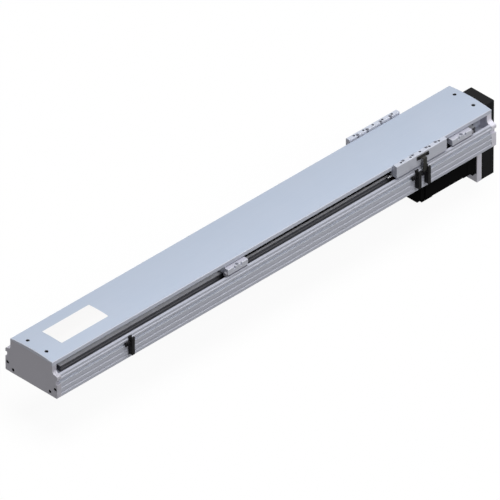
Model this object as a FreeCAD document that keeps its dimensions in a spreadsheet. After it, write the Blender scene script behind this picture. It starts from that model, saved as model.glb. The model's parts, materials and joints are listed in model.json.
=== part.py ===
import FreeCAD, Part
import math
import os
import re
import Sketcher

# Ball screw linear module: a long aluminium base with two guide rails and a ball screw under a fixed cover.
# A carriage with two upstanding wings runs along it, two floating supports hold the long screw in between,
# and a motor folded back under the module drives the screw through a belt.
# Frame: millimetres, origin in the middle of the base's mounting face, +X towards the belt, +Z up.
# The side with the sensors is -Y, called right; +Y is left. The near end is at -X, the far end at +X.

SIZES = {
    # base extrusion, from the middle outwards
    "base_length": 1126,
    "wall_foot": 9.5,
    "wall_thickness": 7,
    "wall_rise": 15,
    "foot_rise": 9,
    "shoulder_rise": 3,
    "wall_recess": 1.35,
    "wall_recess_height": 5,
    "foot_break": 1.7,
    "ledge_height": 35,
    "rail_land": 3.5,
    "channel_floor": 8,
    "slot_height": 36,
    "slot_mouth": 8,
    "slot_lip": 2,
    "slot_room": 12,
    "slot_depth": 5.5,
    "panel_bottom": 7.5,
    "panel_top": 25.5,
    "panel_rib": 6,
    "panel_depth": 1.2,
    "hollow_web": 5,
    "hollow_side": 11,
    "hollow_floor": 12,
    "hollow_roof": 9,
    "edge_break": 1,
    # tapped mounting holes under the base
    "mount_pitch": 200,
    "mount_offset": 45,
    "mount_hole": 5,
    "mount_depth": 10,
    # rails and guide blocks
    "rail_width": 15,
    "rail_height": 12.5,
    "rail_groove": 1.2,
    "rail_end_gap": 21,
    "rail_bolt_pitch": 120,
    "rail_bolt_sink": 5.5,
    "guide_height": 22,
    "guide_clearance": 0.3,
    "block_width": 34,
    "block_height": 17.7,
    "block_length": 50,
    "block_pitch": 64,
    "block_cap": 4,
    "block_bevel": 2,
    "block_side_gap": 3.5,
    "block_bolt_pitch": 26,
    # ball screw, nut and bearings
    "screw_diameter": 16,
    "screw_clearance": 0.3,
    "nut_body": 28,
    "nut_flange": 42,
    "nut_flat": 39,
    "nut_side_gap": 1.5,
    "nut_top_gap": 2,
    "nut_flange_thickness": 10,
    "nut_bolt_circle": 35,
    "bracket_length": 40,
    "bracket_floor": 3,
    "bracket_bolt_pitch": 26,
    "bracket_bolt_offset": 12,
    "near_journal": 10,
    "near_bearing_outer": 26,
    "near_bearing_width": 8,
    "near_bearing_gap": 2,
    "far_journal": 12,
    "far_bearing_outer": 28,
    "far_bearing_width": 16,
    "ring_wall": 4,
    "ring_gap": 0.3,
    "lock_nut_outer": 22,
    "lock_nut_width": 8,
    "lock_nut_room": 1.5,
    "housing_thickness": 18,
    "housing_half": 37.5,
    "housing_clearance": 0.5,
    "housing_bore_gap": 1,
    "housing_bolt_offset": 18,
    "housing_bolt_sink": 4.5,
    # cover and end plates
    "lip_gap": 1.5,
    "lip_drop": 8.5,
    "lip_thickness": 3,
    "cover_thickness": 3,
    "cover_crown": 3.5,
    "cover_fit": 0.2,
    "cover_end_break": 0.9,
    "cover_screw_offset": 24.5,
    "cover_screw_inset": 5,
    "cap_thickness": 10,
    "plate_thickness": 12,
    "cap_notch": 10,
    "cap_notch_depth": 4.5,
    "cap_fillet": 7,
    "cap_round": 4,
    "end_screw_seat": 5,
    "end_screw_margin": 5.7,
    "end_screw_rise": 18.6,
    "end_screw_inset": 19.8,
    "end_screw_foot": 7.7,
    # carriage plate and wings
    "slider_inset": 184,
    "slider_length": 132,
    "plate_height": 9,
    "arm_gap": 4.5,
    "arm_height": 7.5,
    "arm_clearance": 0.5,
    "carriage_bolt_sink": 4.5,
    "wing_width": 10.2,
    "wing_height": 18,
    "wing_inset": 1.3,
    "wing_gap": 1.5,
    "wing_hole": 5,
    "wing_hole_pitch": 25,
    "wing_hole_depth": 14,
    "wing_screw_shift": 2.4,
    "wing_screw_place": 18,
    "wing_screw_sink": 5,
    # floating screw supports and their link rods
    "far_support_inset": 75.25,
    "support_span": 589,
    "support_length": 51.5,
    "support_gap": 2,
    "support_inset": 3.3,
    "hanger_width": 34,
    "hanger_floor": 3,
    "bush_outer": 26,
    "pad_height": 3.2,
    "pad_clearance": 0.3,
    "pad_length": 48,
    "pad_width": 7,
    "pad_lip": 3,
    "notch_pitch": 17.2,
    "notch_width": 4,
    "notch_depth": 2,
    "rod_diameter": 5,
    "rod_offset": 49.5,
    "rod_drop": 4.9,
    "rod_clearance": 0.5,
    "rod_insert": 20,
    "bumper_diameter": 9,
    "bumper_length": 5,
    "bumper_offset": 30,
    "end_bumper_diameter": 8.4,
    "end_bumper_rise": 2.3,
    # motor, pulleys, belt and belt cover
    "motor_frame": 56.4,
    "motor_gap": 25.3,
    "motor_flange_thickness": 5.5,
    "motor_flange_corner": 4,
    "motor_corner": 10,
    "motor_length": 129,
    "motor_band": 18,
    "motor_band_step": 0.7,
    "motor_pilot": 38.1,
    "motor_pilot_height": 2,
    "motor_bolt_pitch": 47.14,
    "motor_shaft": 8,
    "shaft_insert": 20,
    "shaft_clearance": 0.05,
    "encoder_frame": 51,
    "encoder_length": 9.5,
    "socket_outer": 16,
    "socket_wall": 2,
    "socket_depth": 10,
    "pulley_teeth": 24,
    "pulley_outer": 37,
    "pulley_face": 17,
    "pulley_rim": 42,
    "pulley_rim_thickness": 1.5,
    "pulley_gap": 3,
    "tooth_depth": 1.9,
    "tooth_width": 2.8,
    "belt_width": 15,
    "belt_thickness": 2,
    "belt_clearance": 0.3,
    "belt_cover_depth": 32.3,
    "belt_cover_wall": 2.5,
    "belt_cover_corner": 14,
    "belt_cover_round": 1.5,
    "belt_cover_rise": 34.7,
    "belt_cover_screw_inset": 7.5,
    "belt_cover_screw_sink": 5,
    "belt_cover_screw_grip": 5,
    "tongue_side": 2.15,
    "tongue_rim": 15.3,
    # slot sensors and the flag that trips them
    "near_sensor_inset": 176.5,
    "home_sensor_inset": 199.8,
    "far_sensor_inset": 175,
    "sensor_thickness": 6.6,
    "sensor_depth": 10.7,
    "sensor_bottom": 11.8,
    "sensor_top": 50.5,
    "sensor_arm": 3.2,
    "sensor_slot_depth": 13,
    "sensor_ear_length": 9,
    "sensor_ear_height": 8,
    "sensor_ear_depth": 4,
    "slot_nut_length": 9,
    "slot_nut_gap": 0.5,
    "flag_shift": 2,
    "flag_thickness": 1.5,
    "flag_bar_length": 31,
    "flag_bar_height": 6.5,
    "flag_bar_drop": 4,
    "flag_tab_width": 9,
    "flag_tab_bottom": 42,
    "flag_screw_pitch": 23,
    # socket screws: M4 for the structure, M3 for the flag and the sensors, M5 for the motor
    "small_thread": 3,
    "small_head": 5.5,
    "small_head_height": 2,
    "small_length": 4.5,
    "screw_thread": 4,
    "screw_head": 7,
    "screw_head_height": 4,
    "screw_socket": 3.5,
    "screw_socket_depth": 2,
    "flat_head": 7.5,
    "flat_head_height": 2.3,
    "large_thread": 5,
    "large_head": 8,
    "thread_length": 12,
    "hole_room": 0.5,
    "head_clearance": 0.2,
    "thread_clearance": 0.05,
}

# derived heights
BLOCK_TOP = "(ledge_height + guide_height)"
SCREW_Z = f"({BLOCK_TOP} - nut_top_gap - nut_flange / 2)"
WALL_TOP = "(ledge_height + wall_rise)"
PLATE_TOP = f"({BLOCK_TOP} + plate_height)"
ARM_BOTTOM = f"({WALL_TOP} + arm_gap)"
WING_SEAT = f"({ARM_BOTTOM} + arm_height)"
WING_TOP = f"({WING_SEAT} + wing_height)"
LIP_BOTTOM = f"({PLATE_TOP} + lip_gap)"
COVER_TOP = f"({LIP_BOTTOM} + lip_drop)"
COVER_UNDER = f"({COVER_TOP} - cover_thickness)"
SUPPORT_UNDER = f"({WALL_TOP} + pad_height)"
SUPPORT_TOP = f"({LIP_BOTTOM} - support_gap)"
ROD_Z = f"({SUPPORT_TOP} - rod_drop)"
MOTOR_Z = "(-motor_gap - motor_frame / 2)"
TONGUE_BOTTOM = f"({MOTOR_Z} - motor_frame / 2 - tongue_rim)"
BELT_COVER_TOP = f"({SCREW_Z} + belt_cover_rise)"

# derived half widths
BLOCK_INNER = "(nut_flat / 2 + nut_side_gap)"
RAIL_Y = f"({BLOCK_INNER} + block_width / 2)"
BLOCK_OUTER = f"({BLOCK_INNER} + block_width)"
FOOT_Y = f"({BLOCK_OUTER} + block_side_gap)"
SIDE_Y = f"({FOOT_Y} + wall_foot)"
WALL_Y = f"({SIDE_Y} - wall_thickness)"
RAIL_INNER = f"({RAIL_Y} - rail_width / 2)"
CHANNEL_Y = f"({RAIL_INNER} - rail_land)"
WING_OUTER = f"({SIDE_Y} - wing_inset)"
WING_Y = f"({WING_OUTER} - wing_width / 2)"
WING_INNER = f"({WING_OUTER} - wing_width)"
COVER_Y = f"({WING_INNER} - wing_gap)"
COVER_INNER = f"({COVER_Y} - lip_thickness)"
COVER_SEAT = f"({COVER_INNER} - cover_fit)"
CROWN_HALF = f"({COVER_Y} - edge_break)"
SUPPORT_Y = f"({SIDE_Y} - support_inset)"
PAD_Y = f"({SUPPORT_Y} - pad_width / 2)"
TONGUE_Y = "(motor_frame / 2 + tongue_side)"

# the cover's crowned top: the radius of its arc, the height of its axis and the seats of its screws
CROWN_RADIUS = f"(({CROWN_HALF} * {CROWN_HALF} + cover_crown * cover_crown) / (2 * cover_crown))"
CROWN_TOP = f"({COVER_TOP} + cover_crown)"
CROWN_AXIS = f"({CROWN_TOP} - {CROWN_RADIUS})"
HEAD_EDGE = "(cover_screw_offset + flat_head / 2 + head_clearance)"
HEAD_SEAT = f"({CROWN_AXIS} + sqrt({CROWN_RADIUS} * {CROWN_RADIUS} - {HEAD_EDGE} * {HEAD_EDGE}))"

# derived places along the module
NEAR_END = "(-base_length / 2)"
FAR_END = "(base_length / 2)"
NEAR_FACE = f"({NEAR_END} - cap_thickness)"
PLATE_FACE = f"({FAR_END} + plate_thickness)"
NEAR_BEARING = f"({NEAR_END} + near_bearing_gap)"
NEAR_SHOULDER = f"({NEAR_BEARING} + near_bearing_width)"
FAR_SHOULDER = f"({FAR_END} - far_bearing_width)"
LOCK_NUT_END = f"({FAR_END} + lock_nut_width)"
PULLEY_START = f"({PLATE_FACE} + pulley_gap)"
PULLEY_END = f"({PULLEY_START} + pulley_face + 2 * pulley_rim_thickness)"
BELT_START = f"({PULLEY_START} + pulley_rim_thickness + (pulley_face - belt_width) / 2)"
SLIDER_X = f"({FAR_END} - slider_inset)"
SLIDER_NEAR = f"({SLIDER_X} - slider_length / 2)"
NUT_START = f"({SLIDER_X} - bracket_length / 2)"
NUT_FLANGE_START = f"({SLIDER_X} + bracket_length / 2)"
FAR_SUPPORT = f"({FAR_END} - far_support_inset)"
SUPPORT_PLACES = {"near": f"({FAR_SUPPORT} - support_span)", "far": FAR_SUPPORT}
SENSOR_PLACES = {
    "near": f"({NEAR_END} + near_sensor_inset)",
    "home": f"({FAR_END} - home_sensor_inset)",
    "far": f"({FAR_END} - far_sensor_inset)",
}
MOTOR_FRONT = f"({FAR_END} - motor_flange_thickness)"
MOTOR_REAR = f"({MOTOR_FRONT} - motor_length)"

# hole sizes
HEAD_BORE = "(screw_head + 2 * head_clearance)"
THREAD_BORE = "(screw_thread + 2 * thread_clearance)"
SMALL_BORE = "(small_thread + 2 * thread_clearance)"
LARGE_BORE = "(large_thread + 2 * thread_clearance)"
CARRIAGE_TAP = "(thread_length - plate_height + carriage_bolt_sink + hole_room)"
HOUSING_TAP = "(thread_length - channel_floor + housing_bolt_sink + hole_room)"

SIDES = {"left": "1", "right": "-1"}
RAIL_BOLTS = int((SIZES["base_length"] - 2 * SIZES["rail_end_gap"]) // SIZES["rail_bolt_pitch"])
MOUNT_ROWS = 6
WING_TAPS = 5
HEX_SIDES = 6
HALF_TURN = 180
OUTWARD = {
    "+x": FreeCAD.Vector(1, 0, 0),
    "-x": FreeCAD.Vector(-1, 0, 0),
    "-y": FreeCAD.Vector(0, -1, 0),
    "+z": FreeCAD.Vector(0, 0, 1),
    "-z": FreeCAD.Vector(0, 0, -1),
}
TOUCH = 1e-4

doc = FreeCAD.newDocument("LinearModule")
sheet = doc.addObject("Spreadsheet::Sheet", "Sizes")
for row, (alias, number) in enumerate(SIZES.items(), start=1):
    sheet.set(f"A{row}", alias)
    sheet.set(f"B{row}", str(number))
    sheet.setAlias(f"B{row}", alias)
doc.recompute()

pieces = []


def formula(text):
    """An expression with every size name pointing at its cell."""
    def cell(word):
        name = word.group()
        return f"Sizes.{name}" if name in SIZES else name
    return re.sub(r"[a-z_]+", cell, text)


def spread(pitch, count):
    """Places at an even pitch, centred on zero."""
    return [f"{pitch} * {number - (count - 1) / 2}" for number in range(count)]


def bind(thing, **values):
    """Binds properties of an object to expressions of the sheet."""
    for name, text in values.items():
        thing.setExpression(name, formula(text))


def place(thing, x="0", y="0", z="0", rotation=None):
    """Puts an object at a bound position, turned if asked."""
    if rotation is not None:
        thing.Placement = FreeCAD.Placement(FreeCAD.Vector(), rotation)
    for axis, text in zip("xyz", (x, y, z)):
        thing.setExpression(f"Placement.Base.{axis}", formula(text))


def piece(thing, label):
    """Registers an object as a sub-part under its label."""
    thing.Label = label
    pieces.append(thing)
    return thing


def mirrored(half):
    """A closed outline from its +Y half, listed from the bottom up."""
    return half + [(f"-{y}", z) for y, z in reversed(half)]


def new_body(label):
    return piece(doc.addObject("PartDesign::Body", label), label)


def new_sketch(body, plane, offset="0"):
    """A sketch on one of the body's own planes, moved along its normal."""
    sketch = body.newObject("Sketcher::SketchObject", f"{body.Name}_sketch")
    support = next(feature for feature in body.Origin.OriginFeatures if feature.Role == plane)
    sketch.AttachmentSupport = [(support, "")]
    sketch.MapMode = "FlatFace"
    sketch.setExpression("AttachmentOffset.Base.z", formula(offset))
    return sketch


def fix_point(sketch, geometry, position, across, up):
    """Ties a point of the sketch to its two coordinates."""
    for kind, text in (("DistanceX", across), ("DistanceY", up)):
        index = sketch.addConstraint(Sketcher.Constraint(kind, -1, 1, geometry, position, 1))
        sketch.setExpression(f"Constraints[{index}]", formula(text))


def outline(sketch, points):
    """A closed polygon whose corners are tied to the sheet."""
    first = sketch.GeometryCount
    count = len(points)
    step = 2 * math.pi / count
    ring = [FreeCAD.Vector(math.cos(step * i), math.sin(step * i), 0) for i in range(count)]
    for i in range(count):
        sketch.addGeometry(Part.LineSegment(ring[i], ring[(i + 1) % count]))
    for i, (across, up) in enumerate(points):
        sketch.addConstraint(Sketcher.Constraint("Coincident", first + i, 1, first + (i - 1) % count, 2))
        fix_point(sketch, first + i, 1, across, up)


def circle(sketch, across, up, diameter):
    index = sketch.addGeometry(Part.Circle(FreeCAD.Vector(1, 1, 0), FreeCAD.Vector(0, 0, 1), 1))
    fix_point(sketch, index, 3, across, up)
    size = sketch.addConstraint(Sketcher.Constraint("Diameter", index, 2))
    sketch.setExpression(f"Constraints[{size}]", formula(diameter))


def feature(body, kind, sketch, **values):
    """Adds a sketch-based feature to a body and makes it the tip."""
    added = body.newObject(f"PartDesign::{kind}", f"{body.Name}_{kind.lower()}")
    added.Profile = sketch
    bind(added, **values)
    body.Tip = added
    return added


def pad(body, sketch, length):
    return feature(body, "Pad", sketch, Length=length)


def pocket(body, sketch, length, forward):
    """Cuts a sketch into the body, along the sketch normal or against it."""
    cut = feature(body, "Pocket", sketch, Length=length)
    cut.Reversed = forward
    return cut


def drill(body, plane, offset, spots, diameter, depth, forward):
    """Straight holes of one size at several spots of a plane."""
    sketch = new_sketch(body, plane, offset)
    for across, up in spots:
        circle(sketch, across, up, diameter)
    return pocket(body, sketch, depth, forward)


def sink(body, x, y, top):
    """A conical seat for a flat screw head in a horizontal face."""
    cone = body.newObject("PartDesign::SubtractiveCone", f"{body.Name}_sink")
    bind(cone, Radius1=f"{THREAD_BORE} / 2", Radius2="flat_head / 2 + head_clearance",
         Height="flat_head_height")
    place(cone, x, y, f"{top} - flat_head_height")
    body.Tip = cone


def round_corners(body, sketch, corners, radius):
    """Fillets the padded edges that stand on the given corners of a sketch."""
    doc.recompute()
    normal = sketch.Placement.Rotation.multVec(FreeCAD.Vector(0, 0, 1))
    spots = [sketch.Placement.multVec(sketch.Geometry[corner].StartPoint) for corner in corners]
    base = body.Tip
    names = []
    for number, edge in enumerate(base.Shape.Edges, start=1):
        along = edge.Vertexes[-1].Point - edge.Vertexes[0].Point
        if along.cross(normal).Length > TOUCH or along.Length < TOUCH:
            continue
        if any((edge.Vertexes[0].Point - spot).cross(normal).Length < TOUCH for spot in spots):
            names.append(f"Edge{number}")
    fillet = body.newObject("PartDesign::Fillet", f"{body.Name}_fillet")
    fillet.Base = (base, names)
    bind(fillet, Radius=radius)
    body.Tip = fillet


def break_arcs(body, size):
    """Chamfers every edge of the body that is part of a circle."""
    doc.recompute()
    base = body.Tip
    names = [f"Edge{number}" for number, edge in enumerate(base.Shape.Edges, start=1)
             if edge.Curve.TypeId == "Part::GeomCircle"]
    chamfer = body.newObject("PartDesign::Chamfer", f"{body.Name}_chamfer")
    chamfer.Base = (base, names)
    bind(chamfer, Size=size)
    body.Tip = chamfer


def bar(label, points, start, length, holes=()):
    """A body padded along X from an outline across the module, with round holes through it."""
    body = new_body(label)
    sketch = new_sketch(body, "YZ_Plane", start)
    outline(sketch, points)
    for y, z, diameter in holes:
        circle(sketch, y, z, diameter)
    pad(body, sketch, length)
    return body, sketch


def tube(label, start, length, outer, inner, height):
    """A ring or bush round an axis along X."""
    body = new_body(label)
    sketch = new_sketch(body, "YZ_Plane", start)
    circle(sketch, "0", height, outer)
    circle(sketch, "0", height, inner)
    pad(body, sketch, length)
    return body


def turned(label, points, height):
    """A body turned about an axis along X, from points of place and radius."""
    body = new_body(label)
    sketch = new_sketch(body, "XY_Plane")
    outline(sketch, points)
    spin = feature(body, "Revolution", sketch)
    spin.ReferenceAxis = (sketch, ["H_Axis"])
    place(body, z=height)
    return body


def corners(half_across, half_up, middle="0"):
    """The four corners of a rectangle about a middle height."""
    return [(f"{a} * {half_across}", f"{middle} + {b} * {half_up}")
            for a in SIDES.values() for b in SIDES.values()]


def chamfered_square(width, corner, height):
    """An upright square with cut corners about an axis along X."""
    half = f"({width} / 2)"
    inner = f"({width} / 2 - {corner})"
    return mirrored([(inner, f"{height} - {half}"), (half, f"{height} - {inner}"),
                     (half, f"{height} + {inner}"), (inner, f"{height} + {half}")])


def end_outline(bottom):
    """The outline shared by the near end cap and the motor plate, above what each has at its foot."""
    notch = "cap_notch / 2"
    inside = f"({SIDE_Y} - cap_notch_depth)"
    half = bottom + [
        (f"({SIDE_Y} - foot_break)", "0"), (SIDE_Y, "foot_break"),
        (SIDE_Y, f"slot_height - {notch}"), (inside, f"slot_height - {notch}"),
        (inside, f"slot_height + {notch}"), (SIDE_Y, f"slot_height + {notch}"),
        (SIDE_Y, WALL_TOP), (COVER_Y, WALL_TOP),
        (COVER_Y, LIP_BOTTOM), (COVER_SEAT, LIP_BOTTOM), (COVER_SEAT, COVER_UNDER),
    ]
    steps = {size: half.index((y, WALL_TOP)) for size, y in (("cap_round", SIDE_Y), ("cap_fillet", COVER_Y))}
    return mirrored(half), {size: (at, 2 * len(half) - 1 - at) for size, at in steps.items()}


def end_screw_spots():
    outer = f"({SIDE_Y} - end_screw_margin)"
    inner = f"({SIDE_Y} - end_screw_inset)"
    return [(f"{sign} * {y}", z) for sign in SIDES.values()
            for y, z in ((outer, "end_screw_rise"), (inner, "end_screw_foot"))]


def make_screw(name, thread, head, head_height, length, flat=False):
    """A socket screw standing on its seat at the origin, head up; a flat head is sunk below it."""
    shank = doc.addObject("Part::Cylinder", f"{name}_shank")
    bind(shank, Radius=f"{thread} / 2", Height=length)
    place(shank, z=f"-{length}")
    top = doc.addObject("Part::Cone" if flat else "Part::Cylinder", f"{name}_head")
    if flat:
        bind(top, Radius1=f"{thread} / 2", Radius2=f"{head} / 2", Height=head_height)
        place(top, z=f"-{head_height}")
    else:
        bind(top, Radius=f"{head} / 2", Height=head_height)
    whole = doc.addObject("Part::Fuse", f"{name}_whole")
    whole.Base = shank
    whole.Tool = top
    socket = doc.addObject("Part::Prism", f"{name}_socket")
    socket.Polygon = HEX_SIDES
    depth = f"(screw_socket_depth * {head_height} / screw_head_height)"
    bind(socket, Circumradius=f"screw_socket / 2 * {thread} / screw_thread", Height=f"2 * {depth}")
    place(socket, z=f"-{depth}" if flat else f"{head_height} - {depth}")
    screw = doc.addObject("Part::Cut", name)
    screw.Base = whole
    screw.Tool = socket
    return screw


def screw_group(label, screw, spots, outward):
    """One node of equal screws, their heads pointing outward at the given seats."""
    turn = FreeCAD.Rotation(OUTWARD["+z"], OUTWARD[outward])
    links = []
    for number, (x, y, z) in enumerate(spots, start=1):
        link = doc.addObject("App::Link", f"{label}_{number}")
        link.LinkedObject = screw
        place(link, x, y, z, turn)
        links.append(link)
    group = doc.addObject("Part::Compound", label)
    group.Links = links
    return piece(group, label)


def solid_group(label, members):
    """One node of equal loose solids, each a body that is not registered by itself."""
    for member in members:
        pieces.remove(member)
    group = doc.addObject("Part::Compound", label)
    group.Links = members
    return piece(group, label)


def build_base():
    rib_low = "((panel_bottom + panel_top - panel_rib) / 2)"
    rib_high = "((panel_bottom + panel_top + panel_rib) / 2)"
    recess = f"({SIDE_Y} - panel_depth)"
    lip = f"({SIDE_Y} - slot_lip)"
    back = f"({SIDE_Y} - slot_depth)"
    top_side = f"({SIDE_Y} - wall_recess)"
    half = [(f"({SIDE_Y} - foot_break)", "0"), (SIDE_Y, "foot_break")]
    for low, high in (("panel_bottom", rib_low), (rib_high, "panel_top")):
        half += [(SIDE_Y, low), (recess, f"{low} + panel_depth"),
                 (recess, f"{high} - panel_depth"), (SIDE_Y, high)]
    half += [
        (SIDE_Y, "slot_height - slot_mouth / 2"), (lip, "slot_height - slot_mouth / 2"),
        (lip, "slot_height - slot_room / 2"), (back, "slot_height - slot_room / 2"),
        (back, "slot_height + slot_room / 2"), (lip, "slot_height + slot_room / 2"),
        (lip, "slot_height + slot_mouth / 2"), (SIDE_Y, "slot_height + slot_mouth / 2"),
        (SIDE_Y, f"{WALL_TOP} - wall_recess_height - wall_recess"),
        (top_side, f"{WALL_TOP} - wall_recess_height"), (top_side, WALL_TOP), (WALL_Y, WALL_TOP),
        (WALL_Y, "ledge_height + foot_rise + wall_foot - wall_thickness"),
        (FOOT_Y, "ledge_height + foot_rise"),
        (FOOT_Y, "ledge_height"), (RAIL_INNER, "ledge_height"),
        (RAIL_INNER, "ledge_height + shoulder_rise"), (CHANNEL_Y, "ledge_height + shoulder_rise"),
        (CHANNEL_Y, "channel_floor"),
    ]
    body = new_body("base_profile")
    sketch = new_sketch(body, "YZ_Plane", NEAR_END)
    outline(sketch, mirrored(half))
    hollow_in = f"({CHANNEL_Y} + hollow_web)"
    hollow_out = f"({SIDE_Y} - hollow_side)"
    hollow_top = "(ledge_height - hollow_roof)"
    for sign in SIDES.values():
        outline(sketch, [(f"{sign} * {y}", z) for y, z in (
            (hollow_in, "hollow_floor"), (hollow_out, "hollow_floor"),
            (hollow_out, hollow_top), (hollow_in, hollow_top))])
    pad(body, sketch, "base_length")
    rows = spread("mount_pitch", MOUNT_ROWS)
    mounts = [(x, f"{sign} * mount_offset") for x in rows for sign in SIDES.values()]
    drill(body, "XY_Plane", "0", mounts, "mount_hole", "mount_depth", True)
    tapped = "thread_length - end_screw_seat + hole_room"
    drill(body, "YZ_Plane", NEAR_END, end_screw_spots(), THREAD_BORE, tapped, True)
    drill(body, "YZ_Plane", FAR_END, end_screw_spots(), THREAD_BORE, tapped, False)
    housing_bolts = housing_bolt_spots()
    drill(body, "XY_Plane", "0", housing_bolts, THREAD_BORE, "channel_floor", True)
    drill(body, "XY_Plane", "0", housing_bolts, HEAD_BORE, "housing_bolt_sink", True)
    rail_bolts = [(x, f"{sign} * {RAIL_Y}") for sign in SIDES.values() for x in rail_bolt_places()]
    drill(body, "XY_Plane", "ledge_height", rail_bolts, THREAD_BORE,
          "thread_length - rail_height + rail_bolt_sink + hole_room", False)


def build_cover():
    """The fixed cover: a slice of a large cylinder on top, flat inside, with its edges bent down."""
    length = "(base_length + cap_thickness + plate_thickness)"
    body = new_body("top_cover")
    crown = body.newObject("PartDesign::AdditiveCylinder", "top_cover_crown")
    bind(crown, Radius=CROWN_RADIUS, Height=length)
    place(crown, x=NEAR_FACE, z=CROWN_AXIS, rotation=FreeCAD.Rotation(OUTWARD["+z"], OUTWARD["+x"]))
    body.Tip = crown
    half = [(COVER_Y, LIP_BOTTOM), (COVER_Y, f"{COVER_TOP} - edge_break"),
            (f"({CROWN_HALF} - 2 * cover_crown)", f"{COVER_TOP} + 2 * cover_crown")]
    inside = [(f"-{COVER_INNER}", LIP_BOTTOM), (f"-{COVER_INNER}", COVER_UNDER),
              (COVER_INNER, COVER_UNDER), (COVER_INNER, LIP_BOTTOM)]
    around = new_sketch(body, "YZ_Plane", NEAR_FACE)
    circle(around, "0", CROWN_AXIS, f"3 * {CROWN_RADIUS}")
    outline(around, mirrored(half) + inside)
    pocket(body, around, length, True)
    break_arcs(body, "cover_end_break")
    spots = cover_screw_spots()
    drill(body, "XY_Plane", CROWN_TOP, spots, THREAD_BORE, "cover_thickness + cover_crown", False)
    drill(body, "XY_Plane", CROWN_TOP, spots, "flat_head + 2 * head_clearance",
          f"{CROWN_TOP} - {HEAD_SEAT}", False)
    for x, y in spots:
        sink(body, x, y, HEAD_SEAT)


def cover_screw_spots():
    ends = (f"{NEAR_END} + cover_screw_inset", f"{FAR_END} - cover_screw_inset")
    return [(x, f"{sign} * cover_screw_offset") for x in ends for sign in SIDES.values()]


def build_near_end():
    points, rounds = end_outline([])
    body, sketch = bar("near_end_cap", points, NEAR_FACE, "cap_thickness")
    for size, places in rounds.items():
        round_corners(body, sketch, places, size)
    drill(body, "YZ_Plane", NEAR_FACE, end_screw_spots(), THREAD_BORE, "cap_thickness", True)
    drill(body, "YZ_Plane", NEAR_FACE, end_screw_spots(), HEAD_BORE, "cap_thickness - end_screw_seat", True)


def housing_bolt_spots():
    ends = (f"{NEAR_END} + housing_thickness / 2", f"{FAR_END} - housing_thickness / 2")
    return [(x, f"{sign} * housing_bolt_offset") for x in ends for sign in SIDES.values()]


def build_housings():
    """The T-shaped blocks at both ends that hold the screw bearings and carry the cover."""
    tongue = f"({CHANNEL_Y} - housing_clearance)"
    half = [(tongue, "channel_floor"), (tongue, "ledge_height + shoulder_rise"),
            ("housing_half", "ledge_height + shoulder_rise"), ("housing_half", COVER_UNDER)]
    bore = [("0", SCREW_Z, "screw_diameter + 2 * housing_bore_gap")]
    near, _ = bar("near_bearing_housing", mirrored(half), NEAR_END, "housing_thickness", bore)
    drill(near, "YZ_Plane", NEAR_END, [("0", SCREW_Z)], "near_bearing_outer",
          "near_bearing_gap + near_bearing_width", True)
    far, _ = bar("far_bearing_housing", mirrored(half), f"{FAR_END} - housing_thickness",
                 "housing_thickness", bore)
    drill(far, "YZ_Plane", FAR_END, [("0", SCREW_Z)], "far_bearing_outer", "far_bearing_width", False)
    spots = cover_screw_spots()
    drill(near, "XY_Plane", COVER_UNDER, spots[:2], THREAD_BORE, "thread_length", False)
    drill(far, "XY_Plane", COVER_UNDER, spots[2:], THREAD_BORE, "thread_length", False)
    bolts = housing_bolt_spots()
    drill(near, "XY_Plane", "channel_floor", bolts[:2], THREAD_BORE, HOUSING_TAP, True)
    drill(far, "XY_Plane", "channel_floor", bolts[2:], THREAD_BORE, HOUSING_TAP, True)
    tube("near_bearing", NEAR_BEARING, "near_bearing_width", "near_bearing_outer",
         "near_bearing_outer - 2 * ring_wall", SCREW_Z)
    tube("far_bearing", FAR_SHOULDER, "far_bearing_width", "far_bearing_outer",
         "far_bearing_outer - 2 * ring_wall", SCREW_Z)


def build_motor_plate():
    points, rounds = end_outline([(TONGUE_Y, TONGUE_BOTTOM), (TONGUE_Y, "0")])
    holes = [("0", SCREW_Z, "lock_nut_outer + 2 * lock_nut_room"),
             ("0", MOTOR_Z, "motor_pilot + 2 * thread_clearance")]
    body, sketch = bar("motor_plate", points, FAR_END, "plate_thickness", holes)
    for size, places in rounds.items():
        round_corners(body, sketch, places, size)
    motor_spots = corners("motor_bolt_pitch / 2", "motor_bolt_pitch / 2", MOTOR_Z)
    drill(body, "YZ_Plane", FAR_END, motor_spots, LARGE_BORE, "plate_thickness", True)
    drill(body, "YZ_Plane", PLATE_FACE, end_screw_spots(), THREAD_BORE, "plate_thickness", False)
    drill(body, "YZ_Plane", PLATE_FACE, end_screw_spots(), HEAD_BORE,
          "plate_thickness - end_screw_seat", False)
    drill(body, "YZ_Plane", PLATE_FACE, belt_cover_screw_spots(), THREAD_BORE,
          "belt_cover_screw_grip + hole_room", False)


def belt_cover_screw_spots():
    across = f"({TONGUE_Y} - belt_cover_screw_inset)"
    heights = (f"({TONGUE_BOTTOM} + belt_cover_screw_inset)",
               f"({BELT_COVER_TOP} - belt_cover_screw_inset)")
    return [(f"{sign} * {across}", z) for sign in SIDES.values() for z in heights]


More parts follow.
